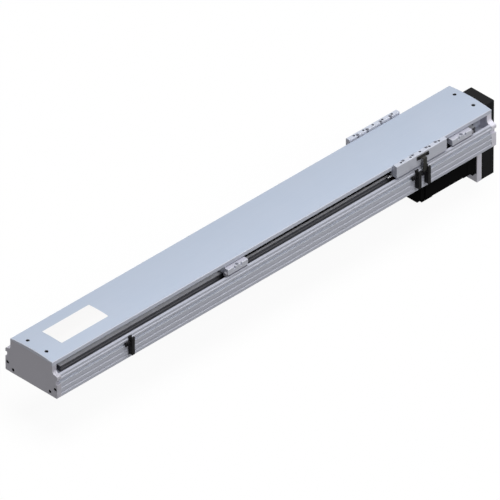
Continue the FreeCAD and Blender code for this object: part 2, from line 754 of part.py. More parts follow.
def build_belt_cover():
    body = new_body("belt_cover")
    shell = new_sketch(body, "YZ_Plane", PLATE_FACE)
    outline(shell, [(f"-{TONGUE_Y}", TONGUE_BOTTOM), (TONGUE_Y, TONGUE_BOTTOM),
                    (TONGUE_Y, BELT_COVER_TOP), (f"-{TONGUE_Y}", BELT_COVER_TOP)])
    pad(body, shell, "belt_cover_depth")
    round_corners(body, shell, range(4), "belt_cover_round")
    room = new_sketch(body, "YZ_Plane", PLATE_FACE)
    wall = f"({TONGUE_Y} - belt_cover_wall)"
    low = f"({TONGUE_BOTTOM} + belt_cover_wall)"
    high = f"({BELT_COVER_TOP} - belt_cover_wall)"
    outline(room, mirrored([(f"({wall} - belt_cover_corner)", low), (wall, f"{low} + belt_cover_corner"),
                            (wall, f"{high} - belt_cover_corner"), (f"({wall} - belt_cover_corner)", high)]))
    pocket(body, room, "belt_cover_depth - belt_cover_wall", True)
    outer = f"({PLATE_FACE} + belt_cover_depth)"
    drill(body, "YZ_Plane", outer, belt_cover_screw_spots(), THREAD_BORE, "belt_cover_depth", False)
    drill(body, "YZ_Plane", outer, belt_cover_screw_spots(), HEAD_BORE, "belt_cover_screw_sink", False)


def build_motor():
    shaft_bore = [("0", MOTOR_Z, "motor_shaft + 2 * shaft_clearance")]
    flange, _ = bar("motor_flange", chamfered_square("motor_frame", "motor_flange_corner", MOTOR_Z),
                    MOTOR_FRONT, "motor_flange_thickness", shaft_bore)
    pilot = new_sketch(flange, "YZ_Plane", FAR_END)
    circle(pilot, "0", MOTOR_Z, "motor_pilot")
    circle(pilot, *shaft_bore[0])
    pad(flange, pilot, "motor_pilot_height")
    drill(flange, "YZ_Plane", FAR_END, corners("motor_bolt_pitch / 2", "motor_bolt_pitch / 2", MOTOR_Z),
          LARGE_BORE, "motor_flange_thickness", False)
    inner = f"({MOTOR_FRONT} - motor_band)"
    stack = "(motor_length - 2 * motor_band)"
    body, _ = bar("motor_body", chamfered_square("motor_frame", "motor_corner", MOTOR_Z), inner, "motor_band",
                  shaft_bore)
    for start, length, step in ((f"{inner} - {stack}", stack, "2 * motor_band_step"),
                                (MOTOR_REAR, "motor_band", "0")):
        sketch = new_sketch(body, "YZ_Plane", start)
        outline(sketch, chamfered_square(f"(motor_frame - {step})", "motor_corner", MOTOR_Z))
        pad(body, sketch, length)
    bar("encoder_cap", chamfered_square("encoder_frame", "motor_corner", MOTOR_Z),
        f"{MOTOR_REAR} - encoder_length", "encoder_length")
    tube("motor_socket", f"{MOTOR_REAR} - encoder_length - socket_depth", "socket_depth", "socket_outer",
         "socket_outer - 2 * socket_wall", MOTOR_Z)
    shaft_start = f"({FAR_END} - shaft_insert)"
    turned("motor_shaft", [(shaft_start, "0"), (PULLEY_END, "0"), (PULLEY_END, "motor_shaft / 2"),
                           (shaft_start, "motor_shaft / 2")], MOTOR_Z)


def rail_bolt_places():
    return spread("rail_bolt_pitch", RAIL_BOLTS)


def build_rails():
    half = "(rail_width / 2)"
    waist = f"({half} - rail_groove)"
    low = "(rail_height / 2 - rail_groove)"
    points = mirrored([(half, "0"), (half, low), (waist, f"{low} + rail_groove"),
                       (waist, "rail_height / 2 + rail_groove"), (half, "rail_height / 2 + 2 * rail_groove"),
                       (half, "rail_height - edge_break / 2"), (f"({half} - edge_break / 2)", "rail_height")])
    for side, sign in SIDES.items():
        body, _ = bar(f"rail_{side}", points, f"{NEAR_END} + rail_end_gap", "base_length - 2 * rail_end_gap")
        spots = [(x, "0") for x in rail_bolt_places()]
        drill(body, "XY_Plane", "rail_height", spots, THREAD_BORE, "rail_height", False)
        drill(body, "XY_Plane", "rail_height", spots, HEAD_BORE, "rail_bolt_sink", False)
        place(body, y=f"{sign} * {RAIL_Y}", z="ledge_height")


def build_sensors():
    """Three fork sensors, open upwards, screwed to nuts in the right-hand slot."""
    inner = f"(-{SIDE_Y})"
    outer = f"({inner} - sensor_depth)"
    floor = "(sensor_top - sensor_slot_depth)"
    fork = [(inner, "sensor_bottom"), (inner, "sensor_top"), (f"{inner} - sensor_arm", "sensor_top"),
            (f"{inner} - sensor_arm", floor), (f"{outer} + sensor_arm", floor),
            (f"{outer} + sensor_arm", "sensor_top"), (outer, "sensor_top"), (outer, "sensor_bottom")]
    ear_y = f"({inner} - sensor_ear_depth)"
    ear_x = "(-sensor_thickness / 2 - sensor_ear_length)"
    ear = [(inner, "slot_height - sensor_ear_height / 2"), (inner, "slot_height + sensor_ear_height / 2"),
           (ear_y, "slot_height + sensor_ear_height / 2"), (ear_y, "slot_height - sensor_ear_height / 2")]
    spots = []
    nuts = []
    for name, at in SENSOR_PLACES.items():
        body, _ = bar(f"sensor_{name}", fork, "-sensor_thickness / 2", "sensor_thickness")
        sketch = new_sketch(body, "YZ_Plane", ear_x)
        outline(sketch, ear)
        pad(body, sketch, "sensor_ear_length")
        drill(body, "XZ_Plane", f"-{inner}", [(f"{ear_x} + sensor_ear_length / 2", "slot_height")],
              SMALL_BORE, "sensor_ear_depth", True)
        place(body, x=at)
        middle = f"({at} + {ear_x} + sensor_ear_length / 2)"
        spots.append((middle, ear_y, "slot_height"))
        nut_in = f"({inner} + slot_depth - slot_nut_gap)"
        nut_out = f"({inner} + slot_lip)"
        rise = "(slot_room / 2 - slot_nut_gap)"
        section = [(nut_in, f"slot_height - {rise}"), (nut_in, f"slot_height + {rise}"),
                   (nut_out, f"slot_height + {rise}"), (nut_out, f"slot_height - {rise}")]
        nut, _ = bar(f"slot_nut_{name}", section, f"{middle} - slot_nut_length / 2", "slot_nut_length")
        drill(nut, "XZ_Plane", f"-{nut_in}", [(middle, "slot_height")], SMALL_BORE, "slot_depth", True)
        nuts.append(nut)
    solid_group("slot_nuts", nuts)
    return spots


def build_pulleys():
    """Toothed pulleys with side rims, one on the screw and one on the motor shaft."""
    rim_end = f"({PULLEY_START} + pulley_rim_thickness)"
    face_end = f"({rim_end} + pulley_face)"
    for label, bore, height in (("driven_pulley", "near_journal", SCREW_Z),
                                ("drive_pulley", "motor_shaft", MOTOR_Z)):
        hub = f"({bore} / 2)"
        half = [(PULLEY_START, hub), (PULLEY_START, "pulley_rim / 2"), (rim_end, "pulley_rim / 2"),
                (rim_end, "pulley_outer / 2"), (face_end, "pulley_outer / 2"),
                (face_end, "pulley_rim / 2"), (PULLEY_END, "pulley_rim / 2"), (PULLEY_END, hub)]
        body = turned(label, half, height)
        sketch = new_sketch(body, "YZ_Plane", rim_end)
        root = "(pulley_outer / 2 - tooth_depth)"
        narrow = "(tooth_width / 3)"
        outline(sketch, mirrored([(narrow, root), ("(tooth_width / 2)", "pulley_outer / 2 + edge_break")]))
        groove = pocket(body, sketch, "pulley_face", True)
        teeth = body.newObject("PartDesign::PolarPattern", f"{label}_teeth")
        teeth.Originals = [groove]
        axis = next(line for line in body.Origin.OriginFeatures if line.Role == "X_Axis")
        teeth.Axis = (axis, [""])
        teeth.Angle = 2 * HALF_TURN
        bind(teeth, Occurrences="pulley_teeth")
        body.Tip = teeth


def build_belt():
    """A closed band round both pulleys."""
    def stadium(name, radius, start, length):
        tools = []
        for height, tag in ((SCREW_Z, "top"), (MOTOR_Z, "bottom")):
            drum = doc.addObject("Part::Cylinder", f"{name}_{tag}")
            bind(drum, Radius=radius, Height=length)
            place(drum, x=start, z=height, rotation=FreeCAD.Rotation(OUTWARD["+z"], OUTWARD["+x"]))
            tools.append(drum)
        span = doc.addObject("Part::Box", f"{name}_span")
        bind(span, Length=length, Width=f"2 * {radius}", Height=f"{SCREW_Z} - {MOTOR_Z}")
        place(span, x=start, y=f"-{radius}", z=MOTOR_Z)
        whole = doc.addObject("Part::MultiFuse", name)
        whole.Shapes = tools + [span]
        return whole
    inner = "(pulley_outer / 2 + belt_clearance)"
    belt = doc.addObject("Part::Cut", "timing_belt")
    belt.Base = stadium("belt_outside", f"({inner} + belt_thickness)", BELT_START, "belt_width")
    belt.Tool = stadium("belt_inside", inner, BELT_START, "belt_width")
    piece(belt, "timing_belt")


def build_screw():
    tip = f"({PULLEY_END} + edge_break)"
    turned("ball_screw", [
        (NEAR_BEARING, "0"), (NEAR_BEARING, "near_journal / 2"), (NEAR_SHOULDER, "near_journal / 2"),
        (NEAR_SHOULDER, "screw_diameter / 2"), (FAR_SHOULDER, "screw_diameter / 2"),
        (FAR_SHOULDER, "far_journal / 2"), (LOCK_NUT_END, "far_journal / 2"),
        (LOCK_NUT_END, "near_journal / 2"), (tip, "near_journal / 2"), (tip, "0")], SCREW_Z)
    tube("near_bearing_inner", NEAR_BEARING, "near_bearing_width",
         "near_bearing_outer - 2 * ring_wall - 2 * ring_gap", "near_journal", SCREW_Z)
    tube("far_bearing_inner", FAR_SHOULDER, "far_bearing_width",
         "far_bearing_outer - 2 * ring_wall - 2 * ring_gap", "far_journal", SCREW_Z)
    tube("lock_nut", FAR_END, "lock_nut_width", "lock_nut_outer", "far_journal", SCREW_Z)


def build_slider():
    arm_in = f"({BLOCK_OUTER} + arm_clearance)"
    step = f"({WING_INNER} - arm_clearance)"
    upper = [(arm_in, BLOCK_TOP), (arm_in, ARM_BOTTOM), (WING_OUTER, ARM_BOTTOM), (WING_OUTER, WING_SEAT),
             (step, WING_SEAT), (step, PLATE_TOP)]
    rods = [(f"{sign} * rod_offset", ROD_Z, "rod_diameter + 2 * rod_clearance") for sign in SIDES.values()]
    plate, _ = bar("slider_plate", mirrored(upper), SLIDER_NEAR, "slider_length", rods)
    spots = wing_screw_spots()
    drill(plate, "XY_Plane", WING_SEAT, [(x, y) for x, y, _ in spots], THREAD_BORE, "arm_height", False)
    bolts = block_bolt_spots() + bracket_bolt_spots()
    drill(plate, "XY_Plane", PLATE_TOP, bolts, THREAD_BORE, "plate_height", False)
    drill(plate, "XY_Plane", PLATE_TOP, bolts, HEAD_BORE, "carriage_bolt_sink", False)


def block_bolt_spots():
    middles = [f"{SLIDER_X} + {sense} * block_pitch / 2" for sense in SIDES.values()]
    along = [f"{middle} + {x}" for middle in middles for x in spread("block_bolt_pitch", 2)]
    return [(x, f"{sign} * {RAIL_Y}") for x in along for sign in SIDES.values()]


def bracket_bolt_spots():
    along = [f"{SLIDER_X} + {x}" for x in spread("bracket_bolt_pitch", 2)]
    return [(x, f"{sign} * bracket_bolt_offset") for x in along for sign in SIDES.values()]


def wing_screw_spots():
    places = ("wing_screw_place", "(wing_screw_place + wing_hole_pitch)")
    along = [f"{SLIDER_X} + {sign} * {x}" for sign in SIDES.values() for x in places]
    return [(x, f"{sign} * ({WING_Y} - wing_screw_shift)", f"{WING_TOP} - wing_screw_sink")
            for sign in SIDES.values() for x in along]


def build_wings():
    """The two bars on the carriage arms that take the load, with a row of tapped holes each."""
    half = "(wing_width / 2)"
    points = mirrored([(half, "0"), (half, "wing_height - edge_break"),
                       (f"({half} - edge_break)", "wing_height")])
    turns = {"left": FreeCAD.Rotation(), "right": FreeCAD.Rotation(OUTWARD["+z"], HALF_TURN)}
    taps = [(x, "0") for x in spread("wing_hole_pitch", WING_TAPS)]
    places = ("wing_screw_place", "(wing_screw_place + wing_hole_pitch)")
    screws = [(f"{sign} * {x}", "-wing_screw_shift") for sign in SIDES.values() for x in places]
    flag_height = "wing_height - flag_bar_drop - flag_bar_height / 2"
    flag_taps = [(f"{x} - flag_shift", flag_height) for x in spread("flag_screw_pitch", 2)]
    for side, sign in SIDES.items():
        body, _ = bar(f"wing_{side}", points, "-slider_length / 2", "slider_length")
        drill(body, "XY_Plane", "wing_height", taps, "wing_hole", "wing_hole_depth", False)
        drill(body, "XY_Plane", "wing_height", screws, THREAD_BORE, "wing_height", False)
        drill(body, "XY_Plane", "wing_height", screws, HEAD_BORE, "wing_screw_sink", False)
        if side == "right":
            drill(body, "XZ_Plane", f"-{half}", flag_taps, SMALL_BORE,
                  "small_length - flag_thickness + hole_room", True)
        place(body, SLIDER_X, f"{sign} * {WING_Y}", WING_SEAT, turns[side])


def build_guides():
    """Four guide blocks that straddle the rails, each with a wiper cap at both ends."""
    half = "(block_width / 2)"
    bottom = "(guide_height - block_height)"
    leg = "(rail_width / 2 + guide_clearance)"
    roof = "(rail_height + guide_clearance)"
    points = mirrored([(leg, bottom), (f"({half} - block_bevel)", bottom), (half, f"{bottom} + block_bevel"),
                       (half, "guide_height - edge_break"), (f"({half} - edge_break)", "guide_height")])
    points += [(f"-{leg}", roof), (leg, roof)]
    caps = []
    for end, sense in (("near", "-1"), ("far", "1")):
        for side, sign in SIDES.items():
            middle = f"({SLIDER_X} + {sense} * block_pitch / 2)"
            start = f"({middle} - block_length / 2)"
            body, _ = bar(f"guide_block_{end}_{side}", points, start, "block_length")
            bolts = [(f"{middle} + {x}", "0") for x in spread("block_bolt_pitch", 2)]
            drill(body, "XY_Plane", "guide_height", bolts, THREAD_BORE, CARRIAGE_TAP, False)
            place(body, y=f"{sign} * {RAIL_Y}", z="ledge_height")
            for cap_start in (f"{start} - block_cap", f"{start} + block_length"):
                cap, _ = bar(f"wiper_{end}_{side}", points, cap_start, "block_cap")
                place(cap, y=f"{sign} * {RAIL_Y}", z="ledge_height")
                caps.append(cap)
    solid_group("guide_wipers", caps)


def build_nut():
    """The nut's bracket hangs under the carriage plate and holds the flanged ball nut."""
    half = "(nut_flat / 2)"
    floor = f"({SCREW_Z} - nut_body / 2 - bracket_floor)"
    bolts = corners("nut_bolt_circle / sqrt(8)", "nut_bolt_circle / sqrt(8)", SCREW_Z)
    bracket, _ = bar("nut_bracket", mirrored([(half, floor), (half, BLOCK_TOP)]), NUT_START, "bracket_length",
                     [("0", SCREW_Z, "nut_body")])
    drill(bracket, "YZ_Plane", NUT_FLANGE_START, bolts, THREAD_BORE, "thread_length", False)
    drill(bracket, "XY_Plane", BLOCK_TOP, bracket_bolt_spots(), THREAD_BORE, CARRIAGE_TAP, False)
    nut = new_body("ball_nut")
    bore = ("0", SCREW_Z, "screw_diameter + 2 * screw_clearance")
    barrel = new_sketch(nut, "YZ_Plane", NUT_START)
    circle(barrel, "0", SCREW_Z, "nut_body")
    circle(barrel, *bore)
    pad(nut, barrel, "bracket_length")
    flange = new_sketch(nut, "YZ_Plane", NUT_FLANGE_START)
    circle(flange, "0", SCREW_Z, "nut_flange")
    circle(flange, *bore)
    pad(nut, flange, "nut_flange_thickness")
    for sign in SIDES.values():
        flat = new_sketch(nut, "YZ_Plane", NUT_FLANGE_START)
        low = f"{SCREW_Z} - nut_flange"
        high = f"{SCREW_Z} + nut_flange"
        outline(flat, [(f"{sign} * {half}", low), (f"{sign} * nut_flange", low),
                       (f"{sign} * nut_flange", high), (f"{sign} * {half}", high)])
        pocket(nut, flat, "nut_flange_thickness", True)
    drill(nut, "YZ_Plane", NUT_FLANGE_START, bolts, THREAD_BORE, "nut_flange_thickness", True)
    return [(f"{NUT_FLANGE_START} + nut_flange_thickness", y, z) for y, z in bolts]


def build_flag():
    """The black tee that trips the sensors: a bar on the right wing and a tab that steps out and down."""
    face = f"(-{WING_OUTER})"
    skin = f"({face} - flag_thickness)"
    top = f"({WING_TOP} - flag_bar_drop)"
    low = f"({top} - flag_bar_height)"
    gap = f"(-{SIDE_Y} - sensor_depth / 2)"
    blade_in = f"({gap} + flag_thickness / 2)"
    blade_out = f"({gap} - flag_thickness / 2)"
    middle = f"({SLIDER_X} + flag_shift)"
    body, _ = bar("sensor_flag", [(face, low), (face, top), (skin, top), (skin, low)],
                  f"{middle} - flag_bar_length / 2", "flag_bar_length")
    tab = new_sketch(body, "YZ_Plane", f"{middle} - flag_tab_width / 2")
    outline(tab, [(face, low), (face, f"{low} + flag_thickness"), (blade_out, f"{low} + flag_thickness"),
                  (blade_out, "flag_tab_bottom"), (blade_in, "flag_tab_bottom"), (blade_in, low)])
    pad(body, tab, "flag_tab_width")
    along = [f"{middle} + {x}" for x in spread("flag_screw_pitch", 2)]
    height = f"({low} + flag_bar_height / 2)"
    drill(body, "XZ_Plane", f"-{face}", [(x, height) for x in along], SMALL_BORE, "flag_thickness", True)
    return [(x, skin, height) for x in along]


def build_supports():
    """Two bridges that slide on the wall tops, hold a bush round the screw and are linked by two rods."""
    hanger = "(hanger_width / 2)"
    floor = f"({SCREW_Z} - bush_outer / 2 - hanger_floor)"
    bridge = mirrored([(hanger, floor), (hanger, SUPPORT_UNDER), (SUPPORT_Y, SUPPORT_UNDER),
                       (SUPPORT_Y, f"{SUPPORT_TOP} - edge_break"),
                       (f"({SUPPORT_Y} - edge_break)", SUPPORT_TOP)])
    lip_y = f"({WALL_Y} - pad_clearance)"
    seat = f"({WALL_TOP} + pad_clearance)"
    pad_in = f"({SUPPORT_Y} - pad_width)"
    skid = [(lip_y, f"{WALL_TOP} - pad_lip"), (lip_y, seat), (SUPPORT_Y, seat), (SUPPORT_Y, SUPPORT_UNDER),
            (pad_in, SUPPORT_UNDER), (pad_in, f"{WALL_TOP} - pad_lip")]
    thickness = f"({SUPPORT_TOP} - {SUPPORT_UNDER})"
    bushes = []
    pads = []
    bumpers = []
    pad_spots = []
    rod_ends = {"near": "support_length / 2 - rod_insert", "far": "-support_length / 2"}
    forward = {"near": "support_length / 2", "far": "-support_length / 2 - bumper_length"}
    backward = {"near": forward["far"], "far": forward["near"]}
    end_bumper_y = f"({SUPPORT_Y} - end_bumper_diameter / 2)"
    end_bumper_z = f"({SUPPORT_UNDER} + end_bumper_rise)"
    for end, at in SUPPORT_PLACES.items():
        start = f"({at} - support_length / 2)"
        body, _ = bar(f"support_{end}", bridge, start, "support_length", [("0", SCREW_Z, "bush_outer")])
        rods = [(f"{sign} * rod_offset", ROD_Z) for sign in SIDES.values()]
        drill(body, "YZ_Plane", f"{at} + {rod_ends[end]}", rods, "rod_diameter", "rod_insert", True)
        for sign in SIDES.values():
            spot = (at, f"{sign} * {PAD_Y}")
            drill(body, "XY_Plane", SUPPORT_TOP, [spot], THREAD_BORE, thickness, False)
            sink(body, *spot, SUPPORT_TOP)
            pad_spots.append((*spot, SUPPORT_TOP))
            cut_notches(body, at, sign, f"{thickness} / 2")
            skid_side = [(f"{sign} * {y}", z) for y, z in skid]
            shoe, _ = bar(f"pad_{end}_{len(pads)}", skid_side, f"{at} - pad_length / 2", "pad_length")
            drill(shoe, "XY_Plane", SUPPORT_UNDER, [spot], THREAD_BORE, "pad_height", False)
            pads.append(shoe)
            for begin, y, z, size in ((forward[end], "bumper_offset", ROD_Z, "bumper_diameter"),
                                      (backward[end], end_bumper_y, end_bumper_z, "end_bumper_diameter")):
                buffer = new_body(f"bumper_{end}_{len(bumpers)}")
                sketch = new_sketch(buffer, "YZ_Plane", f"{at} + {begin}")
                circle(sketch, f"{sign} * {y}", z, size)
                pad(buffer, sketch, "bumper_length")
                bumpers.append(buffer)
        bushes.append(tube(f"bush_{end}", start, "support_length", "bush_outer",
                           "screw_diameter + 2 * screw_clearance", SCREW_Z))
    solid_group("support_bushes", bushes)
    solid_group("glide_pads", pads)
    solid_group("support_bumpers", bumpers)
    rod_start = f"({SUPPORT_PLACES['near']} + support_length / 2 - rod_insert)"
    rod_length = "support_span - support_length + 2 * rod_insert"
    for side, sign in SIDES.items():
        rod = new_body(f"link_rod_{side}")
        sketch = new_sketch(rod, "YZ_Plane", rod_start)
        circle(sketch, f"{sign} * rod_offset", ROD_Z, "rod_diameter")
        pad(rod, sketch, rod_length)
    return pad_spots


def cut_notches(body, at, sign, depth):
    """Two upright notches in the side of a support, down from its top."""
    sketch = new_sketch(body, "XY_Plane", SUPPORT_TOP)
    root = f"{sign} * ({SUPPORT_Y} - notch_depth)"
    mouth = f"{sign} * ({SUPPORT_Y} + notch_depth)"
    for x in spread("notch_pitch", 2):
        low = f"{at} + {x} - notch_width / 2"
        high = f"{at} + {x} + notch_width / 2"
        outline(sketch, [(low, root), (high, root), (high, mouth), (low, mouth)])
    pocket(body, sketch, depth, False)


def build_screws(sensor_spots, nut_spots, flag_spots, pad_spots):
    """Every group of screws, each at the seats of the pieces that it fastens."""
    cap = ("screw_thread", "screw_head", "screw_head_height")
    small = ("small_thread", "small_head", "small_head_height")
    cap_screw = make_screw("cap_screw", *cap, "thread_length")
    wing_screw = make_screw("wing_screw", *cap, "(wing_height - wing_screw_sink + arm_height - hole_room)")
    belt_screw = make_screw("belt_screw", *cap,
                            "(belt_cover_depth - belt_cover_screw_sink + belt_cover_screw_grip)")
    flat_screw = make_screw("flat_screw", "screw_thread", "flat_head", "flat_head_height", "thread_length",
                            True)
    support_screw = make_screw("support_screw", "screw_thread", "flat_head", "flat_head_height",
                               f"({SUPPORT_TOP} - {WALL_TOP} - pad_clearance - hole_room)", True)
    flag_screw = make_screw("flag_screw", *small, "small_length")
    sensor_screw = make_screw("sensor_screw", *small, "(sensor_ear_depth + slot_depth - slot_nut_gap)")
    motor_screw = make_screw("motor_screw", "large_thread", "large_head", "screw_head_height",
                             "(plate_thickness + motor_flange_thickness - hole_room)")

    end_spots = end_screw_spots()
    near_seat = f"{NEAR_END} - end_screw_seat"
    screw_group("end_cap_screws", cap_screw, [(near_seat, y, z) for y, z in end_spots], "-x")
    far_seat = f"{FAR_END} + end_screw_seat"
    screw_group("motor_plate_screws", cap_screw, [(far_seat, y, z) for y, z in end_spots], "+x")
    motor_spots = corners("motor_bolt_pitch / 2", "motor_bolt_pitch / 2", MOTOR_Z)
    screw_group("motor_screws", motor_screw, [(PLATE_FACE, y, z) for y, z in motor_spots], "+x")
    belt_seat = f"{PLATE_FACE} + belt_cover_depth - belt_cover_screw_sink"
    belt_spots = [(belt_seat, y, z) for y, z in belt_cover_screw_spots()]
    screw_group("belt_cover_screws", belt_screw, belt_spots, "+x")
    rail_seat = "ledge_height + rail_height - rail_bolt_sink"
    rail_spots = [(x, f"{sign} * {RAIL_Y}", rail_seat) for sign in SIDES.values() for x in rail_bolt_places()]
    screw_group("rail_screws", cap_screw, rail_spots, "+z")
    screw_group("cover_screws", flat_screw, [(x, y, HEAD_SEAT) for x, y in cover_screw_spots()], "+z")
    screw_group("support_screws", support_screw, pad_spots, "+z")
    screw_group("wing_screws", wing_screw, wing_screw_spots(), "+z")
    screw_group("nut_screws", cap_screw, nut_spots, "+x")
    carriage_seat = f"{PLATE_TOP} - carriage_bolt_sink"
    carriage_spots = [(x, y, carriage_seat) for x, y in block_bolt_spots() + bracket_bolt_spots()]
    screw_group("carriage_screws", cap_screw, carriage_spots, "+z")
    housing_spots = [(x, y, "housing_bolt_sink") for x, y in housing_bolt_spots()]
    screw_group("housing_screws", cap_screw, housing_spots, "-z")
    screw_group("sensor_screws", sensor_screw, sensor_spots, "-y")
    screw_group("flag_screws", flag_screw, flag_spots, "-y")


def check_and_write():
    """Stops on any failed object or pocket that cuts nothing, then writes one file for each sub-part."""
    doc.recompute()
    for thing in doc.Objects:
        if "Invalid" in thing.State or "Error" in thing.State:
            raise RuntimeError(f"{thing.Name} failed: {thing.State}")
        if thing.TypeId == "PartDesign::Pocket" and thing.Shape.Volume >= thing.BaseFeature.Shape.Volume:
            raise RuntimeError(f"{thing.Name} cuts nothing")
    for thing in pieces:
        if thing.Shape.isNull() or not thing.Shape.isValid():
            raise RuntimeError(f"{thing.Label} has no valid shape")
    os.makedirs("parts", exist_ok=True)
    for thing in pieces:
        thing.Shape.exportStep(os.path.join("parts", f"{thing.Label}.step"))


build_base()
build_cover()
build_near_end()
build_housings()
build_motor_plate()
build_belt_cover()
build_motor()
build_rails()
build_pulleys()
build_belt()
build_screw()
build_slider()
build_wings()
build_guides()
build_screws(build_sensors(), build_nut(), build_flag(), build_supports())
check_and_write()
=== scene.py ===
import json
import math

import bmesh
import bpy
from mathutils import Matrix, Vector


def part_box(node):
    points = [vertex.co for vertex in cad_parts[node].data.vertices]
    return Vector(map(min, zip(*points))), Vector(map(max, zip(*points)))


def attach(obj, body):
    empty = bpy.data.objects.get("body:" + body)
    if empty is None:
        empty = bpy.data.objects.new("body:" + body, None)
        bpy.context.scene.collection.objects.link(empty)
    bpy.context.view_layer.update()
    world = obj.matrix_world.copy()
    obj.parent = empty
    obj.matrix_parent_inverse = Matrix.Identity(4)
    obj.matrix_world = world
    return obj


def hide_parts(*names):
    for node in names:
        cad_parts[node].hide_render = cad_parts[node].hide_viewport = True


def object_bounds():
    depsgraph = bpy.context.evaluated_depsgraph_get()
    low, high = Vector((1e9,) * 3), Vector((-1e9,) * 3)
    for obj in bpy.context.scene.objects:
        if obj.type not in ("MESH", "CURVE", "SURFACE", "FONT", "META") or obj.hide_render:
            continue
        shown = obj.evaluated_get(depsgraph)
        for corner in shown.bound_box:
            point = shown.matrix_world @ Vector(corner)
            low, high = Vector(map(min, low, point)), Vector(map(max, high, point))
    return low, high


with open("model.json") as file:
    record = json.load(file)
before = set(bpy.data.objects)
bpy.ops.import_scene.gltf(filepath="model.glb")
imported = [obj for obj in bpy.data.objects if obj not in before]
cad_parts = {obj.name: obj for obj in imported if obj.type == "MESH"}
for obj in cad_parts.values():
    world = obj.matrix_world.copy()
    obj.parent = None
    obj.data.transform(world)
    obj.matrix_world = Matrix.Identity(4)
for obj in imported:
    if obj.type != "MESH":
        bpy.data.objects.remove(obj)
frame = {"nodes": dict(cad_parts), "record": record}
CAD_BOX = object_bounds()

# Looks of a ball screw linear module, and the small pieces that only the scene has. Lengths are in metres.
MM = 0.001

# Camera: an isometric view with this point in its middle and this width across the picture.
VIEW_TARGET = Vector((12.95, 18.35, -0.5)) * MM
VIEW_WIDTH = 925.6 * MM
VIEW_DIRECTION = Vector((1, 1, -1)).normalized()
LENS = 1700
SENSOR = 36
CLIP_END = 200

# Light: a level face under the suns and the sky renders at about its own colour.
SKY_COLOR = (1.0, 0.93, 0.89, 1)
SKY_LIGHT = 0.12
SUNS = {
    "key": {"light": 2.15, "direction": Vector((-0.08, 0.04, -1)), "softness": math.radians(40)},
    "fill": {"light": 1.03, "direction": Vector((0.0, 0.71, -0.70)), "softness": math.radians(25)},
}

# Floor: white with a trace of shadow where it is seen, and a dim grey where it throws light back.
WHITE = (1, 1, 1, 1)
FLOOR_SIZE = 40
FLOOR_WHITE = (0.97, 0.97, 0.97, 1)
FLOOR_SHADE = 0.06
FLOOR_BOUNCE = (0.15, 0.15, 0.15, 1)


def add_node(tree, kind, operation=None, **inputs):
    """A new shader node with its operation and some of its inputs set by name."""
    node = tree.nodes.new(kind)
    if operation:
        node.operation = operation
    for name, value in inputs.items():
        node.inputs[name.replace("_", " ")].default_value = value
    return node


def surroundings_ray(tree):
    """One for rays that show the surroundings: straight from the camera, mirrored or through glass."""
    path = add_node(tree, "ShaderNodeLightPath")
    total = path.outputs["Is Camera Ray"]
    for ray in ("Is Glossy Ray", "Is Transmission Ray"):
        either = add_node(tree, "ShaderNodeMath", "MAXIMUM")
        tree.links.new(total, either.inputs[0])
        tree.links.new(path.outputs[ray], either.inputs[1])
        total = either.outputs[0]
    return total


def mix_shaders(tree, first, second):
    """A mix of two shaders, whose factor the caller sets."""
    mix = add_node(tree, "ShaderNodeMixShader")
    tree.links.new(first.outputs[0], mix.inputs[1])
    tree.links.new(second.outputs[0], mix.inputs[2])
    return mix


def split_by_ray(tree, lit, shown):
    """One shader for the light that falls on the object, and another where the surroundings show."""
    mix = mix_shaders(tree, lit, shown)
    tree.links.new(surroundings_ray(tree), mix.inputs["Fac"])
    return mix


def make_world():
    """A dim sky that lights the object, with white behind it."""
    world = bpy.data.worlds.new("studio")
    bpy.context.scene.world = world
    world.use_nodes = True
    tree = world.node_tree
    tree.nodes.clear()
    sky = add_node(tree, "ShaderNodeBackground", Color=SKY_COLOR, Strength=SKY_LIGHT)
    white = add_node(tree, "ShaderNodeBackground", Color=WHITE, Strength=1)
    output = add_node(tree, "ShaderNodeOutputWorld")
    tree.links.new(split_by_ray(tree, sky, white).outputs[0], output.inputs["Surface"])


def make_floor(height):
    """A white floor under the object."""
    bpy.ops.mesh.primitive_plane_add(size=FLOOR_SIZE, location=(0, 0, height))
    floor = bpy.context.object
    floor.name = "floor"
    material = bpy.data.materials.new("floor_white")
    material.use_nodes = True
    tree = material.node_tree
    tree.nodes.clear()
    paper = add_node(tree, "ShaderNodeEmission", Color=WHITE, Strength=1)
    shadow = add_node(tree, "ShaderNodeBsdfDiffuse", Color=FLOOR_WHITE)
    shown = mix_shaders(tree, paper, shadow)
    shown.inputs["Fac"].default_value = FLOOR_SHADE
    bounce = add_node(tree, "ShaderNodeBsdfDiffuse", Color=FLOOR_BOUNCE)
    output = add_node(tree, "ShaderNodeOutputMaterial")
    tree.links.new(split_by_ray(tree, bounce, shown).outputs[0], output.inputs["Surface"])
    floor.data.materials.append(material)


def make_lights():
    """The suns, each soft enough for a studio light."""
    for name, sun in SUNS.items():
        lamp = bpy.data.lights.new(name, "SUN")
        lamp.energy = sun["light"]
        lamp.angle = sun["softness"]
        source = bpy.data.objects.new(name, lamp)
        source.rotation_euler = sun["direction"].to_track_quat("-Z", "Y").to_euler()
        bpy.context.collection.objects.link(source)


def make_camera():
    """A camera far off behind a long lens, which keeps parallel lines almost parallel."""
    data = bpy.data.cameras.new("camera")
    data.lens = LENS
    data.sensor_width = SENSOR
    data.clip_end = CLIP_END
    camera = bpy.data.objects.new("camera", data)
    camera.location = VIEW_TARGET - VIEW_DIRECTION * (VIEW_WIDTH * LENS / SENSOR)
    camera.rotation_euler = VIEW_DIRECTION.to_track_quat("-Z", "Y").to_euler()
    bpy.context.collection.objects.link(camera)
    bpy.context.scene.camera = camera


# Masks: the part of a noise that is spread out, how level a top is, and how far an edge turns.
NOISE_LOW = 0.25
NOISE_HIGH = 0.75
LEVEL_FROM = 0.8
LEVEL_FULL = 0.95
EDGE_FULL = 0.85
EDGE_SAMPLES = 6

